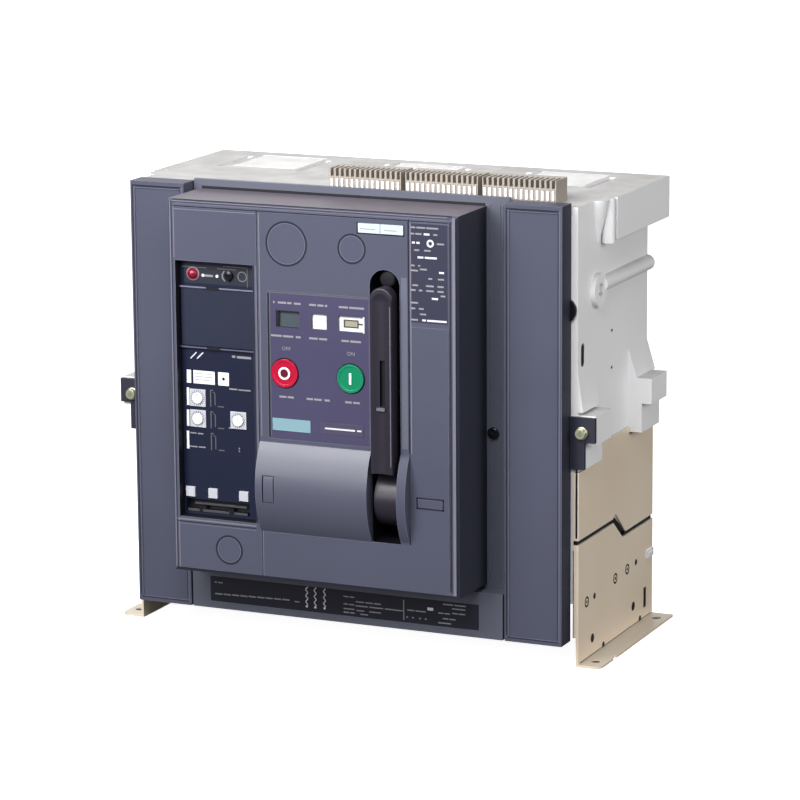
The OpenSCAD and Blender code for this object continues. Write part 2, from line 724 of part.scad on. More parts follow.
rating_area = [93, 134.5, 327, 423];
number_areas = [[39.8, 62.6, 410, 420], [63.2, 86, 410, 420]];
left_foot_area = [-48, -10.5, 219.5, 229.8];
right_foot_area = [1, 43, 219.5, 230.5];
module operator_panel() {
  lining = 2;
  strip_x1 = slot_x1 + 9;
  color(cover_blue) difference() {
    union() {
      difference() {
        hull() {
          block([op_x0 + op_bevel, op_y, op_z0 + op_bevel], [op_x1 - op_bevel, op_y + 1, op_z1 - op_bevel]);
          block([op_x0, op_y + op_bevel, op_z0], [op_x1, shield_y, op_z1]);
        }
        block([op_x0 + op_wall, op_y + op_wall, op_z0 + op_wall],
          [op_x1 - op_wall, shield_y + 1, op_z1 - op_wall]);
      }
      // lining of the trip unit's window
      block([trip_x0 - lining, op_y + 1, trip_z0 - lining],
        [trip_x1 + lining, op_y + 21, trip_z1 + lining]);
      // pocket in which the handle turns
      block([pocket_x0 - pocket_wall, op_y + 1, pocket_z0 - pocket_wall],
        [pocket_x1 + pocket_wall, slot_back + pocket_wall, pocket_z1 + pocket_wall]);
      yz_sheet(slot_x1, strip_x1) barrel_outline(0);
    }
    block([trip_x0, op_y - 1, trip_z0], [trip_x1, op_y + 22, trip_z1]);
    block([slot_x0, op_y - 20, slot_z0], [slot_x1, op_y + op_wall + 1, slot_z1 - slot_w / 2]);
    cyl_y(op_y - 1, op_y + op_wall + 1, slot_x, slot_z1 - slot_w / 2, slot_w / 2);
    block([pocket_x0, op_y + op_wall, pocket_z0], [pocket_x1, slot_back, pocket_z1]);
    cyl_x(pocket_x0 - pocket_wall - 1, pocket_x1 + pocket_wall + 1, -hub_y, hub_z, cam_shaft_r + run);
    // barrel cover, faceplate and label seats
    block([barrel_x0, op_y - 1, barrel_z0], [slot_x0, op_y + op_wall, barrel_z1]);
    block([barrel_x0, op_y + op_wall - 1, barrel_z0],
      [pocket_x0 - pocket_wall, op_y + op_wall + 1, barrel_z1]);
    block([face_x0, op_y - 1, face_z0], [face_x1, op_y + face_t, face_z1]);
    block([face_x0 + 1.5, op_y - 1, face_z0 + 2], [face_x1 - 2, op_y + op_wall + 1, face_z1 - 2]);
    area(rating_area, op_y - 1, op_y + label_t);
    for (r = number_areas) area(r, op_y - 1, op_y + label_t);
    // grooves between the fields
    upright_seam(barrel_x0, barrel_z1, op_z1 + 1);
    upright_seam(strip_x1 + seam_w / 2, barrel_z0, op_z1 + 1);
    upright_seam(barrel_x0 + 1.5, op_z0 - 1, barrel_z0 - 1);
    level_seam(barrel_z0 - 0.5, op_x0 - 1, op_x1 - 8);
    level_seam(op_z1 - 6, op_x0 + 5, op_x1 - 8);
    upright_seam(op_x1 - 8, op_z0 + 6, op_z1 - 6);
    ring_groove(-32.1, 396, knockout_big_r);
    ring_groove(34.2, 395.5, knockout_small_r);
    ring_groove(-96.3, 98.4, knockout_small_r);
    frame_groove([98, 124.5, 157, 167], op_y + 0.6);
  }
}
module rating_plate() {
  color(trip_navy) area(rating_area, op_y, op_y + label_t);
}
// Number plates of the panel, and the two plates at the faceplate's foot
module label_plates() {
  color(label_white) for (r = number_areas) area(r, op_y, op_y + label_t);
  color(plate_teal) area(left_foot_area, op_y - 0.4, op_y + 0.6);
  color(face_blue) area(right_foot_area, op_y - 0.4, op_y + 0.6);
}

// Rails that guide an indicator flag behind the faceplate, for a window from x0 to x1
module flag_rails(x0, x1) {
  rail = 1.8;
  rail_z0 = window_z - 25;
  rail_z1 = face_z1 - 2.5;
  back = window_y + flag_t + free;
  for (s = [0, 1]) {
    xa = s == 0 ? x0 - 1 - free - rail : x1 + 1 + free;
    lip = s == 0 ? xa + 1 : xa - 1;
    block([xa, op_y + face_t - eps, rail_z0], [xa + rail, back + 1.5, rail_z1]);
    block([lip, back, rail_z0], [lip + rail, back + 1.5, rail_z1]);
  }
}
position_window = [-41, -19.6];
ready_window = [-7.1, 7.9];
charge_window = [20, 45];
module control_faceplate() {
  sleeve = 1.6;
  color(face_blue) difference() {
    union() {
      block([face_x0, op_y, face_z0], [face_x1, op_y + face_t, face_z1]);
      for (x = [off_x, on_x]) cyl_y(op_y + face_t - eps, op_y + 11, x, button_z, button_r + free + sleeve);
      for (w = [position_window, ready_window, charge_window]) flag_rails(w[0], w[1]);
    }
    for (x = [off_x, on_x]) cyl_y(op_y - 1, op_y + 12, x, button_z, button_r + free);
    for (w = [position_window, ready_window, charge_window])
      block([w[0], op_y - 1, window_z - window_h / 2], [w[1], op_y + face_t + eps, window_z + window_h / 2]);
    for (r = [left_foot_area, right_foot_area]) area(r, op_y - 1, op_y + 0.6);
  }
}
// Indicator flag behind the window w, lower half hidden at rest
module flag(w) {
  block([w[0] - 1, window_y, window_z - window_h / 2 - flag_travel - 1],
    [w[1] + 1, window_y + flag_t, window_z + window_h / 2 + 1]);
}
module position_flag() color(near_black) flag(position_window);
module ready_flag() color(label_white) flag(ready_window);
module charge_flag() color(label_white) flag(charge_window);

// Push button with its stem, which ends in a nose at the latch
module push_button(x) {
  difference() {
    union() {
      cyl_y(op_y - button_proud, op_y + 8, x, button_z, button_r);
      cyl_y(op_y + 7, latch_y - 6, x, button_z, stem_r);
      cyl_y(latch_y - 7, latch_y - 2.5 - free, x, button_z, 1.5);
    }
    cyl_y(op_y - button_proud - 1, op_y - button_proud + 0.6, x, button_z, button_r - 2.4);
  }
}
module off_button() color(off_red) push_button(off_x);
module on_button() color(on_green) push_button(on_x);

// Half-shaft that a button's nose turns by its lever; side is -1 for a lever that hangs down
module latch_shaft(x, z, side) {
  color(steel) difference() {
    union() {
      cyl_x(mech_x0 - mech_t, mech_x1 + mech_t, latch_y, z, latch_r);
      block([x - 3, latch_y - 2.5, side > 0 ? z : z - 20], [x + 3, latch_y + 0.5, side > 0 ? z + 20 : z]);
      if (side < 0) block([-50, latch_y - 14, z - 2], [-44, latch_y, z + 2]);
    }
    block([-6, latch_y, z - latch_r - 1], [6, latch_y + latch_r + 1, z + latch_r + 1]);
  }
}
module opening_latch() latch_shaft(off_x, opening_latch_z, -1);
module closing_latch() latch_shaft(on_x, closing_latch_z, 1);

// Side plate of the mechanism frame between x0 and x1
module mechanism_plate(x0, x1) {
  color(steel) difference() {
    yz_sheet(x0, x1) polygon([
      [mech_y0, hub_z - 32], [-100, barrel_z0 + 0.3], [-bay_wall_y, hub_z - 30], [-bay_wall_y, mech_z1 - 8],
      [-62, mech_z1], [mech_y0 + 10, mech_z1], [mech_y0, mech_z1 - 10]
    ]);
    cyl_x(x0 - 1, x1 + 1, -hub_y, hub_z, cam_shaft_r + run);
    for (z = [opening_latch_z, closing_latch_z]) cyl_x(x0 - 1, x1 + 1, latch_y, z, latch_r + run);
  }
}
module mechanism_left_plate() mechanism_plate(mech_x0 - mech_t, mech_x0);
module mechanism_right_plate() mechanism_plate(mech_x1, mech_x1 + mech_t);

// Spring seats with their guide rod, and the plate that guides the button stems
module mechanism_crossbars() {
  color(steel) {
    for (z = [seat_z0, seat_z1])
      block([mech_x0, spring_y - 17, z], [mech_x1, spring_y + 17, z + 5]);
    cyl_z(seat_z0 + 5 - eps, seat_z1 + eps, spring_x, spring_y, 5);
    difference() {
      block([mech_x0, op_y + 19, button_z - 19], [mech_x1, op_y + 22, button_z + 19]);
      for (x = [off_x, on_x]) cyl_y(op_y + 18, op_y + 23, x, button_z, stem_r + run);
    }
  }
}
module spring_yoke() {
  color(steel) difference() {
    block([spring_x - 26, spring_y - 15, yoke_z], [spring_x + 26, spring_y + 15, yoke_z + yoke_t]);
    cyl_z(yoke_z - 1, yoke_z + yoke_t + 1, spring_x, spring_y, 5 + run);
  }
}
module closing_spring() {
  color(steel) difference() {
    cyl_z(yoke_z + yoke_t, seat_z1, spring_x, spring_y, 14.5);
    cyl_z(yoke_z, seat_z1 + 1, spring_x, spring_y, 10.5);
  }
}

// Camshaft with the ratchet wheel that the handle drives, and the charging cam
module camshaft() {
  root = ratchet_r - 3;
  color(steel) union() {
    cyl_x(mech_x0 - mech_t - 3, mech_x1 + mech_t + free, -hub_y, hub_z, cam_shaft_r);
    translate([0, -hub_y, hub_z]) yz_sheet(30, 36) polygon([
      for (i = [0 : ratchet_teeth - 1], k = [0, 1])
        let (a = 360 * (i + k * 0.2) / ratchet_teeth, r = k == 0 ? ratchet_r : root)
          [r * cos(a), r * sin(a)]
    ]);
    translate([0, -hub_y, hub_z]) cyl_x(-30, -18, 0, 0, 13);
    translate([0, -hub_y, hub_z]) cyl_x(-30, -18, 6, 4, 14);
  }
}

// Charging handle with its hub and the journals on which it turns
module charging_handle() {
  x0 = slot_x - handle_w / 2;
  x1 = slot_x + handle_w / 2;
  front = op_y - handle_proud;
  back = front + handle_t;
  neck = hub_z + hub_r + 12;
  color(cover_dark) difference() {
    union() {
      cyl_x(x0, x1, -hub_y, hub_z, hub_r);
      cyl_x(pocket_x0 - pocket_wall, pocket_x1 + pocket_wall, -hub_y, hub_z, cam_shaft_r);
      yz_sheet(x0, x1) polygon([
        [front, neck], [front, hub_z + hub_r + 1.5], [back - 1, hub_z + hub_r + 1.5],
        [-hub_y - 13, hub_z + hub_r - 4], [-hub_y, hub_z], [2 - hub_y, hub_z + hub_r - 2], [back, neck]
      ]);
      block([x0, front, neck - eps], [x1, back, handle_z1 - handle_w / 2]);
      cyl_y(front, back, slot_x, handle_z1 - handle_w / 2, handle_w / 2);
    }
    block([slot_x - 2, front - 1, 252], [slot_x + 3.5, front + 5, 295]);
    // hollow along the front of the grip
    cyl_z(hub_z + hub_r - 2, handle_z1 - 14, slot_x, front - hollow_r + 2.2, hollow_r);
    translate([slot_x, front - hollow_r + 2.2, handle_z1 - 14]) sphere(r = hollow_r);
  }
}

// Electronic trip unit: front, pockets for its switches and keys, and two ledges
rotor_places = [[trip_x0 + 16.5, 241], [trip_x0 + 16.5, 221], [trip_x1 - 21.5, 222.5]];
key_places = [trip_x0 + 7.2, trip_x0 + 31, trip_x1 - 17.1];
test_area = [trip_x0 + 2, trip_x1 - 11.5, trip_z0 + 3, trip_z0 + 15.5];
reset_x = trip_x0 + 13.7;
reset_z = trip_z1 - 13.5;
module trip_unit_housing() {
  x0 = trip_x0 + free;
  x1 = trip_x1 - free;
  color(trip_navy) difference() {
    union() {
      block([x0, trip_y, trip_z0 + free], [x1, shield_y, trip_z1 - free]);
      for (z = [ledge_hi_z, ledge_lo_z], s = [0, 1])
        block([s == 0 ? x0 : (x0 + x1) / 2 + 6, trip_y - 3, z - 1],
          [s == 0 ? (x0 + x1) / 2 - 6 : x1, trip_y + eps, z + 1]);
    }
    cyl_y(trip_y - 1, trip_y + 14, reset_x, reset_z, reset_r + free);
    cyl_y(trip_y - 1, trip_y + 2, trip_x1 - 15.4, reset_z, 5);
    for (p = rotor_places) cyl_y(trip_y - 1, trip_y + 6, p[0], p[1], rotor_r + run);
    for (x = key_places)
      block([x - key_s / 2 - free, trip_y - 1, key_z - key_s / 2 - free],
        [x + key_s / 2 + free, trip_y + 8, key_z + key_s / 2 + free]);
    area(test_area, trip_y - 1, trip_y + 9);
  }
}
module trip_unit_blank_cover() {
  color(face_blue)
    block([trip_x0 + 1.5, trip_y - 2, ledge_lo_z + 1 + free], [trip_x1 - 1.5, trip_y, ledge_hi_z - 1 - free]);
}
module trip_unit_socket() {
  color(near_black) union() {
    area(test_area, trip_y + 6, trip_y + 9);
    block([test_area[0] + 2, trip_y, test_area[2]], [test_area[1] - 2, trip_y + 6 + eps, test_area[2] + 3]);
    for (x = [trip_x0 + 20, trip_x1 - 31.5])
      block([x - 3, trip_y, test_area[2] + 3 - eps], [x + 3, trip_y + 6, test_area[2] + 5.5]);
  }
}
module rotary_switch_bases() {
  side = 16.5;
  color(label_white) for (p = rotor_places) difference() {
    block([p[0] - side / 2, trip_y - 1.2, p[1] - side / 2], [p[0] + side / 2, trip_y, p[1] + side / 2]);
    cyl_y(trip_y - 3, trip_y + 1, p[0], p[1], rotor_r + free);
  }
}
module rotary_switch(i) {
  x = rotor_places[i][0];
  z = rotor_places[i][1];
  color(label_white) difference() {
    cyl_y(trip_y - 2.4, trip_y + 5.5, x, z, rotor_r);
    block([x - 1, trip_y - 4, z - rotor_r + 1], [x + 1, trip_y - 1.2, z + rotor_r - 1]);
  }
}
module rotary_switch_1() rotary_switch(0);
module rotary_switch_2() rotary_switch(1);
module rotary_switch_3() rotary_switch(2);
module trip_key(i) {
  color(label_white)
    block([key_places[i] - key_s / 2, trip_y - 1.8, key_z - key_s / 2],
      [key_places[i] + key_s / 2, trip_y + 5.5, key_z + key_s / 2]);
}
module query_key() trip_key(0);
module clear_key() trip_key(1);
module test_key() trip_key(2);
module reset_button() {
  color(off_red) union() {
    cyl_y(trip_y - 2.5, trip_y + 10, reset_x, reset_z, reset_r);
    translate([reset_x, trip_y - 2.5, reset_z]) intersection() {
      translate([0, reset_r * 0.6, 0]) sphere(r = reset_r * 1.16);
      rotate([90, 0, 0]) translate([0, 0, -eps]) cylinder(h = 4, r = reset_r);
    }
  }
}

// Magnet of the trip unit, whose plunger pushes on the opening latch
module trip_magnet() {
  color(near_black) difference() {
    block([mech_x0, trip_plunger_y - 10, opening_latch_z + 15],
      [mech_x0 + 21, trip_plunger_y + 10, opening_latch_z + 47]);
    cyl_z(opening_latch_z + 14, opening_latch_z + 42, -47, trip_plunger_y, 3 + run);
  }
}
module trip_plunger() {
  color(steel) cyl_z(opening_latch_z + 7, opening_latch_z + 37, -47, trip_plunger_y, 3);
}

// Auxiliary terminal strips on the housing's top
aux_y0 = 6 - housing_front;
aux_step = aux_w / aux_pins;
module aux_terminal_blocks() {
  color(strip_beige) for (b = [0 : 2]) translate([aux_x0 + b * aux_pitch, 0, 0]) difference() {
    block([0, aux_y0, body_h], [aux_w, aux_y0 + aux_d, body_h + aux_h]);
    for (i = [0 : aux_pins - 1]) {
      x = aux_step * (i + 0.5);
      block([x - aux_step * 0.28, aux_y0 - 1, body_h + 3], [x + aux_step * 0.28, aux_y0 + 3, body_h + 13]);
      block([x - aux_step * 0.3, aux_y0 - 1, body_h + 14.5],
        [x + aux_step * 0.3, aux_y0 + aux_d - 8, body_h + aux_h + 1]);
    }
  }
}
module aux_terminal_pins() {
  color(label_white) for (b = [0 : 2], i = [0 : aux_pins - 1]) {
    x = aux_x0 + b * aux_pitch + aux_step * (i + 0.5);
    block([x - aux_step * 0.22, aux_y0 - 1.2, body_h + 3.4],
      [x + aux_step * 0.22, aux_y0 + 3, body_h + 12.6]);
  }
}

left_foot_bracket();
right_foot_bracket();
left_side_plate();
right_side_plate();
front_housing();
rear_housing();
left_arc_chute();
centre_arc_chute();
right_arc_chute();
splitter_plates();
upper_terminals();
lower_terminals();
current_transformers();
front_shield();
left_wing_cover();
right_wing_cover();
info_plate();
operator_panel();
barrel_cover();
control_faceplate();
rating_plate();
label_plates();
trip_unit_housing();
trip_unit_blank_cover();
trip_unit_socket();
rotary_switch_bases();
aux_terminal_blocks();
aux_terminal_pins();
mechanism_left_plate();
mechanism_right_plate();
mechanism_crossbars();
left_clamp_bracket();
right_clamp_bracket();
clamp_bolts();
shield_knob();
trip_magnet();
closing_spring();
opening_springs();
trip_plunger();
spring_yoke();
off_button();
on_button();
opening_latch();
closing_latch();
reset_button();
query_key();
clear_key();
test_key();
rotary_switch_1();
rotary_switch_2();
rotary_switch_3();
charging_handle();
camshaft();
main_shaft();
left_moving_contact();
centre_moving_contact();
right_moving_contact();
position_flag();
ready_flag();
charge_flag();
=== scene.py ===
"""Looks of the air circuit breaker, laid out as a Blender add-on and run as a script."""

import json
import math
from contextlib import contextmanager

import bmesh
import bpy
from mathutils import Matrix, Vector


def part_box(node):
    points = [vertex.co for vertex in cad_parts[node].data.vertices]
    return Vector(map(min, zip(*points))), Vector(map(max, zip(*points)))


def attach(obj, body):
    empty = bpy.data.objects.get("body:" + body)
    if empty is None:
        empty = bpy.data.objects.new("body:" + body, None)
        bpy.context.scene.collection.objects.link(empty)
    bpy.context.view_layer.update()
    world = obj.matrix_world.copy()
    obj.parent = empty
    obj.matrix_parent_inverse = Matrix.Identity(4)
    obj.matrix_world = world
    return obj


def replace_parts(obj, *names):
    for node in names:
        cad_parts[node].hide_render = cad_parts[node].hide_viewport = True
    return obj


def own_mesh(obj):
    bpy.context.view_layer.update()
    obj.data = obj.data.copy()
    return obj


bl_info = {
    "name": "Air circuit breaker",
    "version": (1, 0, 0),
    "blender": (4, 5, 0),
    "location": "View3D > Sidebar > Breaker",
    "description": "Dresses the packed air circuit breaker with its finishes and small parts",
    "category": "Object",
}

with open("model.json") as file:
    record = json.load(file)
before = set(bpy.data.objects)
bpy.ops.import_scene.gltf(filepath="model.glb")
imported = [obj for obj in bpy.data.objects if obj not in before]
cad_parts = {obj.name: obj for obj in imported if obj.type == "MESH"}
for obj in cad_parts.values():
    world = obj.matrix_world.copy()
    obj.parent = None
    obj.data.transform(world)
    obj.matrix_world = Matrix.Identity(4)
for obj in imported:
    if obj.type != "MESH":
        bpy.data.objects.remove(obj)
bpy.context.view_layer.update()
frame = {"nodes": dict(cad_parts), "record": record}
MM = 0.001


# ---------------------------------------------------------------- places taken from the frame
def low(node):
    """Lowest corner of a node, in metres."""
    return Vector(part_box(node)[0])


def high(node):
    """Highest corner of a node, in metres."""
    return Vector(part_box(node)[1])


def front_of(node):
    """Front of a node, in millimetres."""
    return low(node).y / MM


def top_of(node):
    """Top of a node, in millimetres."""
    return high(node).z / MM


def middle_of(node):
    """Middle of a node's box, in millimetres."""
    return (low(node) + high(node)) / 2 / MM


# Faces that carry print, in millimetres; the trip unit's ledges stand proud of its face.
PANEL_FRONT = front_of("control_faceplate")
LEDGE_RISE = 3
TRIP_FRONT = front_of("trip_unit_housing") + LEDGE_RISE
# Label and direction along X of the two sides.
SIDES = (("left", -1), ("right", 1))


# ---------------------------------------------------------------- settings of the panel
class BreakerSizes(bpy.types.PropertyGroup):
    """Sizes that a user would change."""

    edge: bpy.props.FloatProperty(
        name="Edge radius", description="Rounding of the moulded covers' edges",
        default=1.2 * MM, min=0.2 * MM, max=1.5 * MM, unit="LENGTH")
    small_edge: bpy.props.FloatProperty(
        name="Small edge radius", description="Rounding of keys, labels and sheet metal",
        default=0.3 * MM, min=0.1 * MM, max=0.6 * MM, unit="LENGTH")
    view_yaw: bpy.props.FloatProperty(
        name="View yaw", description="How far the camera stands to the right of the front",
        default=math.radians(24.02), subtype="ANGLE")
    view_pitch: bpy.props.FloatProperty(
        name="View pitch", description="How far the camera stands above the level",
        default=math.radians(12.19), subtype="ANGLE")
    view_roll: bpy.props.FloatProperty(
        name="View roll", description="Lean of the camera to its right",
        default=math.radians(0.43), subtype="ANGLE")
    view_distance: bpy.props.FloatProperty(
        name="View distance", description="From the camera to its target",
        default=3.519, min=1.0, unit="LENGTH")
    view_lens: bpy.props.FloatProperty(
        name="Focal length", description="Of the camera, in millimetres on a 36 mm sensor",
        default=164.6, min=20.0, unit="CAMERA")


def colour(name, description, value):
    """A colour property with its default."""
    return bpy.props.FloatVectorProperty(
        name=name, description=description, subtype="COLOR", size=3, min=0, max=1, default=value)


class BreakerColours(bpy.types.PropertyGroup):
    """Colours of the finishes, scene-linear."""

    cover: colour("Covers", "Moulded covers and wings", (0.069, 0.073, 0.108))
    shield: colour("Shield", "Shield behind the panel", (0.080, 0.086, 0.118))
    bracket: colour("Brackets", "Clamp brackets at the shield's sides", (0.020, 0.021, 0.036))
    handle: colour("Charging handle", "Handle and its hub", (0.021, 0.018, 0.028))
    face: colour("Faceplate", "Faceplate of the push buttons", (0.050, 0.044, 0.096))
    trip: colour("Trip unit", "Film of the trip unit", (0.006, 0.009, 0.029))
    blank: colour("Blank cover", "Cover over the trip unit's bay", (0.014, 0.018, 0.038))
    housing: colour("Housing", "Fibre-filled moulding of the housing", (0.83, 0.83, 0.84))
    plates: colour("Side plates", "Yellow-passivated sheet", (0.90, 0.73, 0.55))
    red: colour("Red", "Opening button and reset button", (0.40, 0.002, 0.030))
    green: colour("Green", "Closing button", (0.002, 0.19, 0.09))
    teal: colour("Teal", "Bare plate at the faceplate's foot", (0.19, 0.32, 0.37))
    strips: colour("Terminal strips", "Auxiliary terminal strips", (0.32, 0.28, 0.24))
    print_shade: colour("Print", "Printed rules and frames", (0.62, 0.62, 0.68))
    floor: colour("Floor", "Floor of the stage", (0.90, 0.90, 0.90))


# ---------------------------------------------------------------- shader building
def new_group(name, inputs, outputs):
    """A shader node group with float inputs {name: default} and outputs {name: socket type}."""
    group = bpy.data.node_groups.new(name, "ShaderNodeTree")
    for label, value in inputs.items():
        socket = group.interface.new_socket(label, in_out="INPUT", socket_type="NodeSocketFloat")
        socket.default_value = value
    for label, kind in outputs.items():
        group.interface.new_socket(label, in_out="OUTPUT", socket_type=kind)
    return group, group.nodes.new("NodeGroupInput"), group.nodes.new("NodeGroupOutput")


def node(tree, kind, inputs=None, **settings):
    """A node with its settings, and its inputs as values or as output sockets."""
    made = tree.nodes.new(kind)
    for key, value in settings.items():
        setattr(made, key, value)
    for key, value in (inputs or {}).items():
        if isinstance(value, bpy.types.NodeSocket):
            tree.links.new(value, made.inputs[key])
        else:
            made.inputs[key].default_value = value
    return made


def maths(tree, operation, a, b=0.0, c=0.0, clamp=False):
    """One Math node's result."""
    return node(tree, "ShaderNodeMath", {0: a, 1: b, 2: c}, operation=operation, use_clamp=clamp).outputs[0]


def noise(tree, vector, scale, detail):
    """One noise texture's result."""
    return node(tree, "ShaderNodeTexNoise", {"Vector": vector, "Scale": scale, "Detail": detail}).outputs[0]


# Radius of the edges that wear or carry a painted highlight, and depth of the grain, in metres.
WEAR_AND_HIGHLIGHT_RADIUS, BUMP_DEPTH = 0.0012, 0.0002
# How fast wear and painted edge highlight grow where an edge turns away from its face, and how much lighter
# wear is than the shade.
WEAR_AND_HIGHLIGHT_GAIN, WEAR_TINT = 6.0, 2.2
# Scales, per metre, of the noises that break up wear and painted edge highlights, tone, and dust and painted
# top shade.
PATCH_SCALE, TONE_SCALE, CLOUD_SCALE = 60.0, 9.0, 35.0
# Share of the dust and painted top shade that lies everywhere and share that comes and goes, and their
# colour.
DUST_AND_SHADE_EVEN, DUST_AND_SHADE_CLOUDED, DUST_AND_TOP_SHADE_COLOUR = 0.275, 0.45, (0.40, 0.39, 0.38, 1.0)
# How far roughness changes with the tone.
ROUGHNESS_SPREAD = 0.16


def edge_wear_and_highlight_group():
    """Mask of rubbed edges and of painted edge highlights: where the rounded normal leaves the face's own."""
    group, given, out = new_group(
        "edge_wear_and_highlight", {"Radius": WEAR_AND_HIGHLIGHT_RADIUS, "Amount": 0.5}, {"Mask": "NodeSocketFloat"})
    rounded = node(group, "ShaderNodeBevel", {"Radius": given.outputs["Radius"]}, samples=4)
    plain = node(group, "ShaderNodeNewGeometry")
    same = node(group, "ShaderNodeVectorMath", {0: rounded.outputs[0], 1: plain.outputs["Normal"]},
                operation="DOT_PRODUCT")
    turned = maths(group, "SUBTRACT", 1.0, same.outputs["Value"])
    place = node(group, "ShaderNodeTexCoord")
    patches = noise(group, place.outputs["Object"], PATCH_SCALE, 3.0)
    worn = maths(group, "MULTIPLY", turned, WEAR_AND_HIGHLIGHT_GAIN, clamp=True)
    worn = maths(group, "MULTIPLY", worn, patches)
    group.links.new(maths(group, "MULTIPLY", worn, given.outputs["Amount"], clamp=True), out.inputs["Mask"])
    return group


def grain_group():
    """Fine moulded or rolled grain, and a slow change of tone."""
    group, given, out = new_group(
        "grain", {"Scale": 900.0, "Stretch": 1.0}, {"Height": "NodeSocketFloat", "Tone": "NodeSocketFloat"})
    place = node(group, "ShaderNodeTexCoord")
    long = node(group, "ShaderNodeCombineXYZ", {0: 1.0, 1: 1.0, 2: given.outputs["Stretch"]})
    laid = node(group, "ShaderNodeVectorMath", {0: place.outputs["Object"], 1: long.outputs[0]},
                operation="MULTIPLY")
    group.links.new(noise(group, laid.outputs[0], given.outputs["Scale"], 2.0), out.inputs["Height"])
    group.links.new(noise(group, place.outputs["Object"], TONE_SCALE, 2.0), out.inputs["Tone"])
    return group


def dust_group():
    """Mask of faces which look up: fine dust, and where a finish asks for much of it, painted shade on the
    tops.
    """
    group, given, out = new_group("dust", {"Amount": 0.2}, {"Mask": "NodeSocketFloat"})
    plain = node(group, "ShaderNodeNewGeometry")
    up = node(group, "ShaderNodeSeparateXYZ", {0: plain.outputs["Normal"]})
    place = node(group, "ShaderNodeTexCoord")
    clouds = noise(group, place.outputs["Object"], CLOUD_SCALE, 5.0)
    patchy = maths(group, "MULTIPLY_ADD", clouds, DUST_AND_SHADE_CLOUDED, DUST_AND_SHADE_EVEN)
    facing_up = maths(group, "MULTIPLY", maths(group, "MAXIMUM", up.outputs[2], 0.0), patchy)
    group.links.new(maths(group, "MULTIPLY", facing_up, given.outputs["Amount"], clamp=True), out.inputs["Mask"])
    return group


GROUPS = {}


def group_node(tree, name, inputs):
    """Places one of the shared groups, which is built at its first use."""
    makers = {"edge_wear_and_highlight": edge_wear_and_highlight_group, "grain": grain_group, "dust": dust_group}
    if name not in GROUPS:
        GROUPS[name] = makers[name]()
    placed = tree.nodes.new("ShaderNodeGroup")
    placed.node_tree = GROUPS[name]
    for key, value in inputs.items():
        placed.inputs[key].default_value = value
    return placed


def tint(shade, factor):
    """A colour made lighter or darker, with its alpha."""
    return tuple(min(1.0, c * factor) for c in shade) + (1.0,)


def mix(tree, factor, a, b):
    """A colour mix; factor, a and b may be sockets."""
    return node(tree, "ShaderNodeMix", {0: factor, 6: a, 7: b}, data_type="RGBA").outputs[2]


def finish(name, shade, roughness, metallic=0.0, grain=900.0, depth=0.15, stretch=1.0,
           wear=0.35, worn=None, tone=0.10, dust=0.12, second=None, sheen_level=0.5):
    """A finish with grain, slow tone changes, rubbed edges and dust; on the covers the lighter edges are a
    painted highlight, and on the housing and the side plates the dust mask is also painted shade on faces
    that look up.
    """
    material = bpy.data.materials.new(name)
    material.use_nodes = True
    tree = material.node_tree
    shader = tree.nodes["Principled BSDF"]
    grained = group_node(tree, "grain", {"Scale": grain, "Stretch": stretch})
    rubbed_and_highlighted = group_node(tree, "edge_wear_and_highlight", {"Radius": WEAR_AND_HIGHLIGHT_RADIUS, "Amount": wear})
    dusty = group_node(tree, "dust", {"Amount": dust})
    base = mix(tree, grained.outputs["Tone"], tint(shade, 1 - tone), tint(second or shade, 1 + tone))
    base = mix(tree, rubbed_and_highlighted.outputs["Mask"], base, tint(worn, 1.0) if worn else tint(shade, WEAR_TINT))
    base = mix(tree, dusty.outputs["Mask"], base, DUST_AND_TOP_SHADE_COLOUR)
    tree.links.new(base, shader.inputs["Base Color"])
    rough = maths(tree, "MULTIPLY_ADD", grained.outputs["Tone"], ROUGHNESS_SPREAD,
                  roughness - ROUGHNESS_SPREAD / 2)
    tree.links.new(rough, shader.inputs["Roughness"])
    shader.inputs["Metallic"].default_value = metallic
    shader.inputs["Specular IOR Level"].default_value = sheen_level
    bump = node(tree, "ShaderNodeBump",
                {"Height": grained.outputs["Height"], "Strength": depth, "Distance": BUMP_DEPTH})
    tree.links.new(bump.outputs[0], shader.inputs["Normal"])
    return material


MATERIALS = {}


def make(name, shade, roughness, **settings):
    """Makes a finish and keeps it under its name."""
    MATERIALS[name] = finish(name, shade, roughness, **settings)


def printed(name, shade, **settings):
    """Makes the finish of a printed mark or a thin line, which has no dust and no wear."""
    make(name, shade, 0.5, dust=0.0, wear=0.0, **settings)


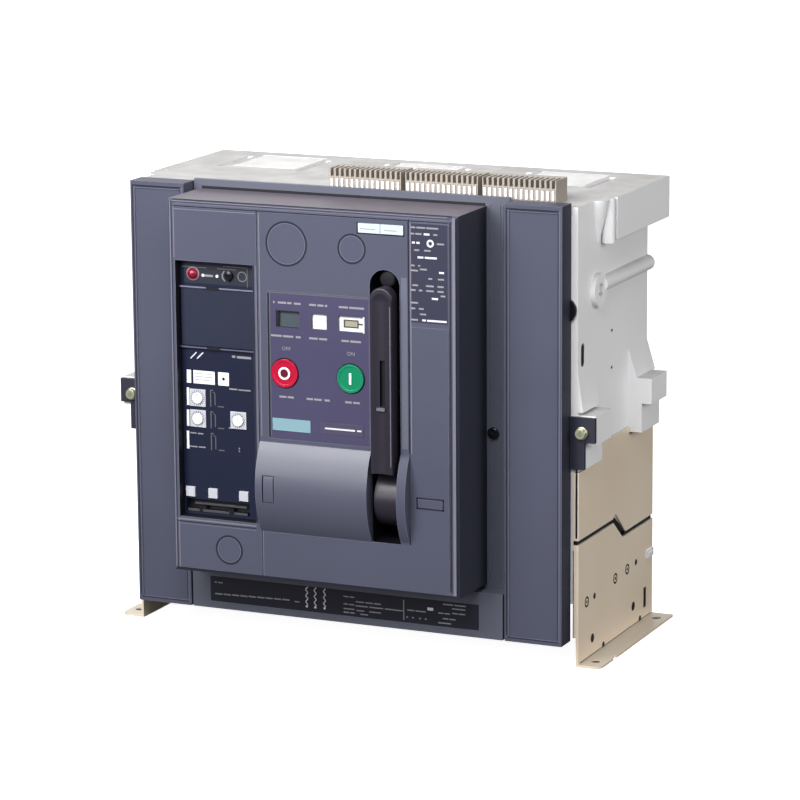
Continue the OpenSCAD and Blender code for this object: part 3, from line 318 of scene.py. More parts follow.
def cover_finishes(c):
    """Moulded covers, brackets and the handle, with painted shade for the covers' side faces and painted
    light for the panel's top.
    """
    # The covers' lighter edges, from the wear mask, are a painted highlight along their rims.
    make("cover_blue", c.cover, 0.5, wear=1.0, worn=(0.22, 0.22, 0.28), dust=0.02, sheen_level=0.14)
    make("cover_dark", c.shield, 0.45, wear=0.7)
    make("bracket_dark", c.bracket, 0.45, wear=0.4, sheen_level=0.4, dust=0.0)
    make("handle_dark", c.handle, 0.36, wear=0.5, sheen_level=0.35, dust=0.03)
    make("face_blue", c.face, 0.42, wear=0.5, dust=0.03, sheen_level=0.35)
    make("blank_blue", c.blank, 0.45, wear=0.3, sheen_level=0.3, dust=0.03)
    make("trip_navy", c.trip, 0.50, wear=0.15, sheen_level=0.25, dust=0.03)
    # The barrel's lighter edges are a painted highlight as well.
    make("barrel_blue", c.cover, 0.36, wear=1.0, worn=(0.22, 0.22, 0.28), dust=0.1, sheen_level=0.6)
    # Painted shade: a darker copy of the covers' colour for the faces that look to the side.
    make("cover_side", tuple(v * 0.45 for v in c.cover), 0.5, dust=0.0, wear=0.3, sheen_level=0.1)
    # Painted light: a lighter, pinkish colour for the panel's top face.
    make("cover_top", (0.125, 0.108, 0.135), 0.5, dust=0.0, wear=0.3, sheen_level=0.3)


def housing_finishes(c):
    """Fibre-filled mouldings of the housing and the terminal strips."""
    # A dust amount this high darkens the faces that look up: dust, and painted shade on the housing's tops.
    make("grey_moulding", c.housing, 0.55, grain=500.0, depth=0.25, wear=0.3, worn=(0.90, 0.90, 0.91),
         tone=0.04, dust=1.7)
    # Painted shade on the floors of the chutes' slots.
    make("vent_painted_shade", (0.30, 0.30, 0.31), 0.6, grain=500.0, tone=0.08, dust=0.0)
    make("beige_plastic", c.strips, 0.5, tone=0.12, worn=(0.6, 0.55, 0.5))


def metal_finishes(c):
    """Sheet metal, bolts, springs and terminals."""
    # A dust amount this high darkens the faces that look up: dust, and painted shade on the tops of the feet.
    make("passivated_steel", c.plates, 0.40, metallic=0.15, grain=240.0, stretch=0.05, depth=0.10,
         second=(0.84, 0.74, 0.60), tone=0.08, worn=(0.80, 0.74, 0.62), dust=1.5)
    # Painted shade on the upper faces of the feet.
    make("plate_shade", (0.60, 0.53, 0.43), 0.45, metallic=0.2, dust=0.4, wear=0.2)
    make("steel", (0.52, 0.52, 0.54), 0.32, metallic=1.0, grain=400.0, depth=0.05, stretch=0.1,
         worn=(0.8, 0.8, 0.8))
    make("zinc", (0.66, 0.66, 0.46), 0.30, metallic=0.85, grain=500.0, depth=0.05,
         worn=(0.85, 0.85, 0.7), dust=0.0)
    make("copper", (0.72, 0.38, 0.24), 0.30, metallic=1.0, grain=350.0, depth=0.05, stretch=0.1,
         worn=(0.9, 0.6, 0.45), second=(0.62, 0.36, 0.24))
    # Painted shade standing for the hollow of a clamp bolt's hex socket.
    make("recess_painted_shade", (0.15, 0.17, 0.13), 0.5, dust=0.0)


def plastic_finishes(c):
    """Buttons, keys, lamps and black parts."""
    make("black_plastic", (0.006, 0.006, 0.009), 0.42, wear=0.2, dust=0.0, sheen_level=0.3)
    make("gloss_black", (0.006, 0.006, 0.009), 0.16, wear=0.1, dust=0.0)
    make("socket_grey", (0.045, 0.048, 0.055), 0.45, wear=0.4)
    make("socket_light", (0.13, 0.13, 0.14), 0.45, wear=0.4)
    make("white_plastic", (0.82, 0.82, 0.84), 0.40, tone=0.02, dust=0.0, worn=(0.9, 0.9, 0.9))
    make("key_light", (0.46, 0.47, 0.52), 0.42, tone=0.18, dust=0.0)
    make("reset_red", (0.20, 0.004, 0.022), 0.24, tone=0.03, worn=(0.5, 0.1, 0.12), dust=0.0)
    make("red_plastic", c.red, 0.26, tone=0.03, worn=(0.75, 0.1, 0.12), dust=0.0)
    make("green_plastic", c.green, 0.26, tone=0.03, worn=(0.1, 0.45, 0.3), dust=0.0)
    make("collar_pink", (0.26, 0.15, 0.18), 0.4, tone=0.05, dust=0.0)


def plate_finishes(c):
    """Films and bare plates that carry print."""
    make("pale_plate", (0.48, 0.57, 0.63), 0.40, tone=0.04, dust=0.0, worn=(0.8, 0.85, 0.9))
    make("teal_plate", c.teal, 0.35, tone=0.08, worn=(0.3, 0.6, 0.6), dust=0.0)
    make("dark_plate", (0.055, 0.050, 0.090), 0.35, tone=0.05, dust=0.0)
    make("flag_grey", (0.045, 0.060, 0.072), 0.40, tone=0.08, dust=0.0)
    make("rating_film", (0.027, 0.027, 0.052), 0.45, wear=0.2, sheen_level=0.3, dust=0.0)
    make("info_film", (0.010, 0.010, 0.022), 0.50, wear=0.2, sheen_level=0.3, dust=0.0)


def print_finishes(c):
    """Printed rules, and the painted highlights and painted shade along rims, grooves and gaps."""
    printed("print_white", c.print_shade, tone=0.10)
    printed("print_grey", tuple(v * 0.38 for v in c.print_shade), tone=0.15)
    printed("print_dim", tuple(v * 0.14 for v in c.print_shade), tone=0.15)
    printed("label_dark", (0.055, 0.055, 0.050), tone=0.15)
    printed("label_grey", (0.30, 0.30, 0.30), tone=0.15)
    printed("strip_beige", (0.30, 0.28, 0.20), tone=0.05)
    # Painted light and shade of the covers: a bright highlight, a dim highlight, shade in grooves and a
    # highlight on lips.
    printed("cover_light", (0.165, 0.16, 0.20), sheen_level=0.2)
    printed("cover_rim", (0.11, 0.115, 0.155), sheen_level=0.2)
    printed("cover_groove", (0.018, 0.018, 0.032), sheen_level=0.2)
    printed("cover_crest", (0.115, 0.12, 0.165), sheen_level=0.2)
    printed("ledge_blue", (0.15, 0.15, 0.22))
    printed("ledge_dim", (0.075, 0.08, 0.125))
    printed("strip_shade", (0.020, 0.023, 0.035), sheen_level=0.25)
    make("red_shade", (0.10, 0.003, 0.016), 0.3, dust=0.0, wear=0.0)
    # Painted highlight on the rims of the handle's grip.
    make("handle_painted_highlight", (0.13, 0.12, 0.16), 0.4, dust=0.0, wear=0.0)
    # Black for print, and for painted shade in gaps, holes and slots.
    printed("ink_and_shade_black", (0.006, 0.006, 0.010), tone=0.1, sheen_level=0.3)


def materials():
    """Every finish of the breaker by its name, made at first use from the panel's colours."""
    if not MATERIALS:
        colours = bpy.context.scene.breaker_colours
        for make_group in (cover_finishes, housing_finishes, metal_finishes, plastic_finishes,
                           plate_finishes, print_finishes):
            make_group(colours)
    return MATERIALS


def dress(piece, slot, material=None):
    """Gives a piece one finish: its slot's own, or another by name."""
    piece.data.materials.clear()
    piece.data.materials.append(materials()[material or slot])


# ---------------------------------------------------------------- modelling helpers
def deselect():
    """Nothing selected, in object mode."""
    if bpy.context.object and bpy.context.object.mode != "OBJECT":
        bpy.ops.object.mode_set(mode="OBJECT")
    bpy.ops.object.select_all(action="DESELECT")


def pick(piece):
    """Only this piece selected and active."""
    deselect()
    piece.select_set(True)
    bpy.context.view_layer.objects.active = piece


SLOT_OF = {entry["node"]: entry["material_slot"] for entry in frame["record"]["subparts"]}
BODY_OF = {name: body for body, names in frame["record"]["behaviour"]["bodies"].items() for name in names}


def settle(piece, body):
    """Rides a finished piece on its body."""
    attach(piece, body)
    return piece


# Edges sharper than these are kept sharp by the shading, and rounded.
SMOOTH_ANGLE, SHARP_ANGLE = math.radians(40), math.radians(35)


def smooth(piece):
    """Smooth shading that keeps large faces flat."""
    pick(piece)
    bpy.ops.object.shade_smooth_by_angle(angle=SMOOTH_ANGLE)
    weighting = piece.modifiers.new("weighting", "WEIGHTED_NORMAL")
    weighting.weight = 100
    weighting.keep_sharp = True
    bpy.ops.object.modifier_apply(modifier=weighting.name)


def round_edges(piece, width, segments):
    """Sharp edges rounded, and smooth shading."""
    pick(piece)
    rounding = piece.modifiers.new("rounding", "BEVEL")
    rounding.width = width
    rounding.segments = segments
    rounding.limit_method = "ANGLE"
    rounding.angle_limit = SHARP_ANGLE
    rounding.use_clamp_overlap = True
    bpy.ops.object.modifier_apply(modifier=rounding.name)
    smooth(piece)


# Rounding of an outline that shows, larger than that of the other edges.
OUTLINE_EDGE = 1.9 * MM


def soften(name, width, segments=2, material=None, outline=None):
    """A copy of a CAD node with its edges rounded, an outline more so, which stands for the node."""
    pick(frame["nodes"][name])
    bpy.ops.object.duplicate()
    piece = bpy.context.object
    piece.name = name + "_body"
    bpy.ops.object.mode_set(mode="EDIT")
    bpy.ops.mesh.select_all(action="SELECT")
    bpy.ops.mesh.remove_doubles(threshold=0.00001)
    bpy.ops.mesh.dissolve_limited(angle_limit=math.radians(1.0))
    if outline:
        keep_edges(outline)
        bpy.ops.mesh.bevel(offset=OUTLINE_EDGE, segments=4, affect="EDGES", clamp_overlap=True)
    bpy.ops.object.mode_set(mode="OBJECT")
    round_edges(piece, width, segments)
    dress(piece, SLOT_OF[name], material)
    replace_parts(piece, name)
    return settle(piece, BODY_OF[name])


# Small new parts are given in millimetres, in the frame's axes.
AXIS_TURN = {"X": (0, math.pi / 2, 0), "Y": (math.pi / 2, 0, 0), "Z": (0, 0, 0)}


def begin(name):
    """Starts a piece: an empty mesh at the origin, in edit mode."""
    deselect()
    bpy.ops.mesh.primitive_cube_add(size=MM)
    bpy.context.object.name = name
    bpy.context.object.data.name = name
    bpy.ops.object.mode_set(mode="EDIT")
    bpy.ops.mesh.delete(type="VERT")
    return bpy.context.object


def keep(kind, mode, wanted):
    """Leaves only the wanted parts of the selection, its edges or its faces, selected."""
    bpy.ops.mesh.select_mode(type=mode)
    shape = bmesh.from_edit_mesh(bpy.context.object.data)
    chosen = [part for part in getattr(shape, kind) if part.select and wanted(part)]
    for group in (shape.faces, shape.edges, shape.verts):
        for part in group:
            part.select = False
    for part in chosen:
        part.select_set(True)
    bmesh.update_edit_mesh(bpy.context.object.data)


def keep_edges(wanted):
    """Leaves only the wanted edges of the selection selected."""
    keep("edges", "EDGE", wanted)


def keep_faces(wanted):
    """Leaves only the wanted faces of the selection selected."""
    keep("faces", "FACE", wanted)


def bar(low_corner, high_corner, edge=0.0, turn=(0, 0, 0)):
    """Adds a bar between two corners, its edges bevelled, turned about its middle."""
    size = [(b - a) * MM for a, b in zip(low_corner, high_corner)]
    middle = [(a + b) / 2 * MM for a, b in zip(low_corner, high_corner)]
    bpy.ops.mesh.primitive_cube_add(size=1, location=middle, rotation=turn, scale=size)
    if edge:
        bpy.ops.mesh.bevel(offset=edge * MM, segments=1, affect="EDGES")


def sided(side, x0, x1):
    """Two distances from the middle plane as x on one side, the lower first."""
    return sorted((side * x0, side * x1))


def sided_bar(side, box, edge, lean=0.0):
    """Adds a bar to one side: box is x0, x1 from the middle plane, y0, y1, z0, z1; it leans about X."""
    x0, x1 = sided(side, *box[:2])
    y0, y1, z0, z1 = box[2:]
    bar((x0, y0, z0), (x1, y1, z1), edge, turn=(lean, 0, 0))


def sunk(low_corner, high_corner, border, depth):
    """Adds a bevelled plate whose front face, towards -Y, is sunk inside a border."""
    bar(low_corner, high_corner, 0.15)
    keep_faces(lambda f: f.normal.y < -0.99)
    bpy.ops.mesh.inset(thickness=border * MM)
    bpy.ops.mesh.inset(thickness=depth * MM * 0.5, depth=-depth * MM)


def rod(centre, radius, length, axis="Y", edge=0.0, segments=1, sides=32):
    """Adds a round bar about its centre, its rims bevelled."""
    bpy.ops.mesh.primitive_cylinder_add(
        vertices=sides, radius=radius * MM, depth=length * MM,
        location=[c * MM for c in centre], rotation=AXIS_TURN[axis])
    if edge:
        keep_edges(lambda e: e.calc_face_angle(0) > 0.9)
        bpy.ops.mesh.bevel(offset=edge * MM, segments=segments, affect="EDGES")


def ring(centre, outer, inner, length, axis="Y", sides=32):
    """Adds a flat ring: a rod whose ends are inset and bridged."""
    rod(centre, outer, length, axis, sides=sides)
    keep_faces(lambda f: len(f.verts) > 4)
    bpy.ops.mesh.inset(thickness=(outer - inner) * MM)
    bpy.ops.mesh.bridge_edge_loops()


def stroke(x0, z0, x1, z1, width, front, depth):
    """Adds a slanted stroke on a face that looks to -Y."""
    long = math.hypot(x1 - x0, z1 - z0) / 2
    x, z = (x0 + x1) / 2, (z0 + z1) / 2
    bar((x - long, front, z - width / 2), (x + long, front + depth, z + width / 2),
        0.03, turn=(0, -math.atan2(z1 - z0, x1 - x0), 0))


def close(piece, slot, material=None, body="frame", angle=SMOOTH_ANGLE):
    """Ends a piece: out of edit mode, closed and smooth, dressed and riding on its body."""
    bpy.ops.mesh.select_all(action="SELECT")
    bpy.ops.mesh.normals_make_consistent(inside=False)
    bpy.ops.object.mode_set(mode="OBJECT")
    bpy.ops.object.shade_smooth_by_angle(angle=angle)
    dress(piece, slot, material)
    return settle(piece, body)


# How deep a rule goes into its face, in millimetres; rules carry print, and painted light and shade.
RULE_ROOT = 0.25


@contextmanager
def modelled(name, slot, material=None, body="frame"):
    """Holds the steps that model one piece, which starts empty and ends dressed, riding on its body."""
    piece = begin(name)
    yield
    close(piece, slot, material, body)


def rules(name, rows, front, slot="white_plastic", material="print_grey", body="frame", rise=0.08):
    """Rules on a face that looks to -Y, from rows of (x0, z0, x1, z1): print, painted highlights and painted
    shade.
    """
    with modelled(name, slot, material, body):
        for x0, z0, x1, z1 in rows:
            bar((x0, front - rise, z0), (x1, front + RULE_ROOT, z1), 0.03)


def lines(runs, height):
    """Rows for rules from {z: (x0, x1, x0, x1, ...)}, each of one height."""
    return [(xs[i], z - height / 2, xs[i + 1], z + height / 2)
            for z, xs in runs.items() for i in range(0, len(xs), 2)]


def bare_plate(name, low_corner, high_corner, border, depth, material):
    """A small plate without words on the panel's front, its face sunk; the corners are (x, z)."""
    (x0, z0), (x1, z1) = low_corner, high_corner
    piece = begin(name)
    sunk((x0, PANEL_FRONT - 0.4, z0), (x1, PANEL_FRONT + 1, z1), border, depth)
    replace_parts(close(piece, "white_plastic", material), "label_plates")


def coil(name, foot, length, radius, wire, turns, body):
    """Winds a spring of round wire upwards from its foot, its ends closed."""
    deselect()
    bpy.ops.mesh.primitive_circle_add(vertices=10, radius=wire * MM, location=(radius * MM, 0, 0),
                                      rotation=(math.pi / 2, 0, 0))
    piece = bpy.context.object
    piece.name = name
    piece.data.name = name
    bpy.ops.object.transform_apply(location=True, rotation=True, scale=True)
    winding = piece.modifiers.new("winding", "SCREW")
    winding.axis = "Z"
    winding.angle = math.tau
    winding.screw_offset = length * MM / turns
    winding.iterations = turns
    winding.steps = winding.render_steps = 20
    bpy.ops.object.modifier_apply(modifier=winding.name)
    bpy.ops.object.mode_set(mode="EDIT")
    bpy.ops.mesh.select_mode(type="EDGE")
    bpy.ops.mesh.select_all(action="DESELECT")
    bpy.ops.mesh.select_non_manifold()
    bpy.ops.mesh.fill_holes(sides=0)
    bpy.ops.mesh.select_all(action="SELECT")
    bpy.ops.transform.translate(value=[c * MM for c in foot])
    return close(piece, "steel", body=body, angle=math.radians(60))


# Height of a capital letter as a share of its font's size.
CAPITAL = 0.7


def word(name, text, x, z, height, front):
    """A printed word, standing proud of a face that looks to -Y."""
    deselect()
    bpy.ops.object.text_add(rotation=(math.pi / 2, 0, 0))
    letters = bpy.context.object
    letters.data.body = text
    letters.data.size = height * MM / CAPITAL
    letters.data.align_x = "CENTER"
    letters.data.extrude = 0.1 * MM
    letters.data.space_character = 1.12
    bpy.ops.object.convert(target="MESH")
    piece = bpy.context.object
    piece.name = name
    piece.data.name = name
    piece.location = (x * MM, front * MM, (z - height / 2) * MM)
    bpy.ops.object.transform_apply(location=True, rotation=True, scale=True)
    bpy.ops.object.mode_set(mode="EDIT")
    return close(piece, "white_plastic", "print_grey")


# ---------------------------------------------------------------- operators
# Point that the camera looks at, in metres.
VIEW_TARGET = Vector((0.017, -0.026, 0.2236))
SENSOR_WIDTH = 36


class BREAKER_OT_camera(bpy.types.Operator):
    """Camera at the right of the front and slightly above"""

    bl_idname = "breaker.camera"
    bl_label = "Camera"

    def execute(self, context):
        s = context.scene.breaker_sizes
        back = Vector((math.sin(s.view_yaw) * math.cos(s.view_pitch),
                       -math.cos(s.view_yaw) * math.cos(s.view_pitch), math.sin(s.view_pitch)))
        right = Vector((0, 0, 1)).cross(back).normalized()
        up = back.cross(right)
        axes = Matrix((right, up, back)).transposed().to_4x4()
        data = bpy.data.cameras.new("camera")
        data.lens = s.view_lens
        data.sensor_width = SENSOR_WIDTH
        data.clip_end = 60
        camera = bpy.data.objects.new("camera", data)
        context.collection.objects.link(camera)
        camera.matrix_world = (Matrix.Translation(VIEW_TARGET + back * s.view_distance) @ axes
                               @ Matrix.Rotation(-s.view_roll, 4, "Z"))
        context.scene.camera = camera
        return {"FINISHED"}


# Soft lights: name, place, target, width and height in metres, and watts.
LIGHTS = (
    ("key", (-0.1, -1.0, 1.0), (0, -0.17, 0.36), (1.4, 0.5), 24),
    ("front", (-1.4, -3.4, 1.2), (0, 0, 0.3), (1.6, 1.6), 46),
    ("side", (2.6, -0.5, 1.1), (0.2, 0, 0.25), (1.4, 1.4), 27),
    ("top", (0.3, 0.7, 2.2), (0, 0.05, 0.4), (1.8, 1.8), 3),
    ("back", (-1.6, 2.6, 1.4), (0, 0.1, 0.25), (1.8, 1.8), 18),
)
# Strength of the sky as it lights the breaker, and as the camera sees it.
SKY_LIGHT, SKY_SEEN = 0.30, 1.05
# Share of the floor's own shade that lights the breaker.
FLOOR_THROWN = 0.13


class BREAKER_OT_stage(bpy.types.Operator):
    """Pale floor, soft lights and an even sky"""

    bl_idname = "breaker.stage"
    bl_label = "Stage"

    def execute(self, context):
        deselect()
        bpy.ops.mesh.primitive_plane_add(size=40, location=(0, 0, 0))
        floor = context.object
        floor.name = "floor"
        floor.data.materials.append(self.floor_finish(context.scene.breaker_colours.floor))
        world = bpy.data.worlds.new("sky")
        context.scene.world = world
        world.use_nodes = True
        tree = world.node_tree
        seen = node(tree, "ShaderNodeLightPath").outputs["Is Camera Ray"]
        strength = node(tree, "ShaderNodeMapRange", {0: seen, 3: SKY_LIGHT, 4: SKY_SEEN}).outputs[0]
        tree.nodes["Background"].inputs["Color"].default_value = (1, 1, 1, 1)
        tree.links.new(strength, tree.nodes["Background"].inputs["Strength"])
        for settings in LIGHTS:
            self.light(context, *settings)
        context.scene.view_settings.view_transform = "Standard"
        return {"FINISHED"}

    def floor_finish(self, shade):
        """A pale floor that shows white and throws little light back."""
        material = bpy.data.materials.new("floor")
        material.use_nodes = True
        tree = material.node_tree
        shader = tree.nodes["Principled BSDF"]
        seen = node(tree, "ShaderNodeLightPath").outputs["Is Camera Ray"]
        clouds = node(tree, "ShaderNodeTexNoise", {"Scale": 3.0, "Detail": 2.0})
        pale = mix(tree, clouds.outputs[0], tint(shade, 0.99), tint(shade, 1.01))
        tree.links.new(mix(tree, seen, tint(shade, FLOOR_THROWN), pale), shader.inputs["Base Color"])
        tree.links.new(mix(tree, seen, (0, 0, 0, 1), (1, 1, 1, 1)), shader.inputs["Emission Color"])
        shader.inputs["Emission Strength"].default_value = 0.9
        shader.inputs["Roughness"].default_value = 0.8
        shader.inputs["Specular IOR Level"].default_value = 0.0
        return material

    def light(self, context, name, place, target, size, watts):
        """A rectangular soft light that looks at the target."""
        data = bpy.data.lights.new(name, "AREA")
        data.shape = "RECTANGLE"
        data.size, data.size_y = size
        data.energy = watts
        lamp = bpy.data.objects.new(name, data)
        context.collection.objects.link(lamp)
        lamp.location = place
        lamp.rotation_euler = (Vector(target) - Vector(place)).to_track_quat("-Z", "Y").to_euler()


def darken(piece, material, *boxes):
    """Gives the faces whose middle lies in one of the boxes (low corner, high corner) another finish; the
    script paints shade on faces with it, and light on the panel's top.
    """
    piece.data.materials.append(materials()[material])
    added = len(piece.data.materials) - 1
    for face in piece.data.polygons:
        place = [c / MM for c in face.center]
        for low_corner, high_corner in boxes:
            if all(a < c < b for a, c, b in zip(low_corner, place, high_corner)):
                face.material_index = added


PANEL_TOP = top_of("operator_panel")
# Boxes round the walls of the handle's well and of the trip unit's bay, which get painted shade, and round
# two of the panel's sides: painted shade on the right side, painted light on the top.
HANDLE_WELL = ((50.5, -170.4, 119), (83.5, -114, 381))
TRIP_BAY = ((-149, -170.4, 126), (-66.6, -100, 375))
PANEL_RIGHT_SIDE = ((136.9, -170.9, 60), (139, -100, 440))
PANEL_TOP_SIDE = ((-153, -170.6, PANEL_TOP - 0.1), (137, -100, 440))
# Round knock-outs of the panel: x, z, radius.
KNOCK_OUTS = ((-32.1, 396, 20.8), (34.2, 395.5, 13.8), (-96.3, 98.4, 13.8))
# Bars of painted shade round the panel's small window: x0, z0, x1, z1.
WINDOW_BARS = ((97.4, 156.4, 125.1, 157.9), (97.4, 166.1, 125.1, 167.6), (97.4, 156.4, 98.9, 167.6),
               (123.6, 156.4, 125.1, 167.6))
# Inner and outer side of a wing cover, and the stretch of X that its clip takes, which is painted black as
# shade.
WING_INNER, WING_OUTER = low("right_wing_cover").x / MM, 221
WING_CLIP = (221.05, 228)


class BREAKER_OT_covers(bpy.types.Operator):
    """Operator panel, wings and shield, with rounded edges, painted shade in the pockets, on the side faces
    and in the grooves, painted light on the panel's top, and painted highlights along the rims
    """

    bl_idname = "breaker.covers"
    bl_label = "Covers"

    def execute(self, context):
        s = context.scene.breaker_sizes
        panel = soften("operator_panel", s.edge)
        # Painted shade: the walls of the handle's well and of the trip unit's bay are made black.
        darken(panel, "black_plastic", HANDLE_WELL, TRIP_BAY)
        darken(panel, "cover_side", PANEL_RIGHT_SIDE)
        darken(panel, "cover_top", PANEL_TOP_SIDE)
        self.panel_rules(PANEL_FRONT)
        self.knock_outs(PANEL_FRONT)
        for label, side in SIDES:
            self.wing_rules(label, side)
        with modelled("panel_back_shade", "black_plastic", "ink_and_shade_black"):
            bar((-153.5, -102.6, PANEL_TOP - 0.5), (137.5, -101.3, PANEL_TOP + 2.4), 0.05)
        for label, side in SIDES:
            wing = soften(label + "_wing_cover", s.edge)
            # Painted shade: the wing's clip is made black and its outer side darker.
            x0, x1 = sided(side, *WING_CLIP)
            darken(wing, "black_plastic", ((x0, -102, 322), (x1, -96, 356)))
            x0, x1 = sided(side, WING_OUTER - 4.5, WING_OUTER + 1)
            darken(wing, "cover_side", ((x0, -118, 20), (x1, -102, 440)))
        soften("front_shield", s.edge)
        for label, _ in SIDES:
            soften(label + "_clamp_bracket", s.small_edge, material="bracket_dark")
        return {"FINISHED"}

    def wing_rules(self, label, side):
        """Painted shade and painted highlights along the inside of a wing cover's rim."""
        left, right = sided(side, WING_INNER, WING_OUTER)
        top = top_of(label + "_wing_cover")
        front = front_of(label + "_wing_cover")
        rules(label + "_wing_dark_lines", [
            (left + 1.6, 30, left + 2.9, top - 5), (left + 1.6, top - 5, right - 3, top - 3.8),
            (left + 3, 27.4, right - 3, 28.4), (right - 4.4, 30, right - 3.6, top - 6),
        ], front, "cover_blue", "cover_groove", rise=0.05)
        rules(label + "_wing_light_lines", [
            (right - 2.9, 28, right - 1.9, top - 4), (left + 3.9, top - 6.8, right - 5, top - 6),
            (left + 3.9, 30, left + 4.6, top - 7),
        ], front, "cover_blue", "cover_crest", rise=0.05)

    def panel_rules(self, front):
        """Painted highlights, dim painted highlights and painted shade along the panel's rims and seams."""
        rules("panel_light_lines", [
            (-152.9, 77, -152, 429), (-149.2, 77, -148.4, 124), (-149.2, 376, -148.4, 424),
            (-150, 429.2, 130, 430.1), (-148, 421.8, -64, 422.5), (-60.6, 212, -59.7, 423),
            (92.6, 208, 93.6, 423), (-151.8, 123.6, -67.5, 125), (-60.6, 77, -59.9, 130),
            (134.4, 77, 137.2, 430),
        ], front, "cover_blue", "cover_light", rise=0.05)
        rules("panel_dim_lines", [
            (-148, 426.8, 130, 427.7), (-150, 119.6, -67.5, 120.4), (83.4, 212, 89.4, 372),
            (-65, 128, -63.2, 373),
        ], front, "cover_blue", "cover_rim", rise=0.04)
        rules("panel_dark_lines", [
            (-151.4, 77, -150.5, 429), (-148, 424.4, 130, 425.4), (-62.9, 131, -62, 424),
            (90.2, 208, 91.2, 424), (-150, 121.4, -67.5, 122.4), (131.6, 80, 133.2, 426),
            (-61.6, 77, -60.8, 130), (-150, 431, 134, 431.8), (-67.4, 127.5, -65.7, 373.5),
        ], front, "cover_blue", "cover_groove", rise=0.06)

    def knock_outs(self, front):
        """Painted shade in the grooves of the knock-outs and of the small window, and a painted highlight on
        the lip inside each groove.
        """
        with modelled("knock_out_shades", "cover_blue", "cover_groove"):
            for x, z, radius in KNOCK_OUTS:
                ring((x, front, z), radius + 0.5, radius - 1.4, 0.3, sides=48)
            for x0, z0, x1, z1 in WINDOW_BARS:
                bar((x0, front - 0.07, z0), (x1, front + 0.2, z1), 0.03)
        with modelled("knock_out_lights", "cover_blue", "cover_crest"):
            for x, z, radius in KNOCK_OUTS:
                ring((x, front, z), radius - 1.4, radius - 2.1, 0.12, sides=48)


# Arc chutes and the x of their poles.
POLES = (("left", -150), ("centre", 0), ("right", 150))
# Vent ribs of a chute: how many, their pitch, the first one's y and half their length; its two slots' x.
VENT_RIBS, VENT_PITCH, VENT_START, VENT_HALF = 13, 6, 21, 34.4
SLOT_X = 43
# Painted shade in a housing's side, in a hole and two slots: x0, x1 from the middle plane, y0, y1, z0, z1.
HOUSING_HOLE_SHADES = ((226.4, 226.8, -89.5, -78.5, 283, 306), (226.6, 226.9, -10.4, -5.6, 302.8, 305.2),
                   (226.6, 226.9, -10.4, -5.6, 267.3, 269.7))


class BREAKER_OT_housings(bpy.types.Operator):
    """Housing halves and arc chutes, with vent ribs, and painted shade in the chutes' slots and in the
    housings' side holes
    """

    bl_idname = "breaker.housings"
    bl_label = "Housings and arc chutes"

    def execute(self, context):
        for name in ("front_housing", "rear_housing", *(label + "_arc_chute" for label, _ in POLES)):
            soften(name, context.scene.breaker_sizes.edge)
        top = top_of("centre_arc_chute")
        for label, pole in POLES:
            with modelled(label + "_chute_slot_shades", "grey_moulding", "vent_painted_shade"):
                for x in (pole - SLOT_X, pole + SLOT_X):
                    bar((x - 2.9, 12.1, top - 3.05), (x + 2.9, 83.9, top - 2.6), 0.1)
            with modelled(label + "_chute_vent_ribs", "grey_moulding"):
                for i in range(VENT_RIBS):
                    y = VENT_START + VENT_PITCH * i
                    bar((pole - VENT_HALF, y - 1.7, top - 1.25), (pole + VENT_HALF, y + 1.7, top - 0.35), 0.3)
        for label, side in SIDES:
            with modelled(label + "_housing_hole_shades", "black_plastic", "ink_and_shade_black"):
                for box in HOUSING_HOLE_SHADES:
                    sided_bar(side, box, 0.1)
        return {"FINISHED"}


# Outer face of the right side plate, and of the left one mirrored.
PLATE_FACE = high("right_side_plate").x / MM
# Holes (y, z, radius) and screw heads (y, z) in a side plate, and the holes in a foot; the holes get painted
# shade.
PLATE_HOLES = ((-58, 58.8, 1.8), (54, 64.3, 1.8), (-63, 19, 2.6), (47, 22, 2.6), (-34, 4.5, 2.0),
               (66, 4.5, 2.0))
PLATE_RINGS = ((-78, 58), (-2.5, 62), (30, 63.2))
FOOT_HOLE_X, FOOT_HOLE_Y = 241, (-82, 82)
# Box round the upper face of both feet, inside the sheet's bend, which gets painted shade.
FOOT_TOP = ((-300, -120, 1.9), (300, 120, 4.2))
# Painted shade in the seam between plate and foot (y0, y1, z0, z1): level at the front, level at the back, a
# slant between.
SEAM_FRONT, SEAM_BACK, SEAM_SLANT = (-97.5, -8, 116.5, 122.5), (17, 99.5, 96.5, 103.5), (-11, 26, 105, 114.5)
SEAM_LEAN = math.atan2(99.5 - 121.5, 22 + 9)


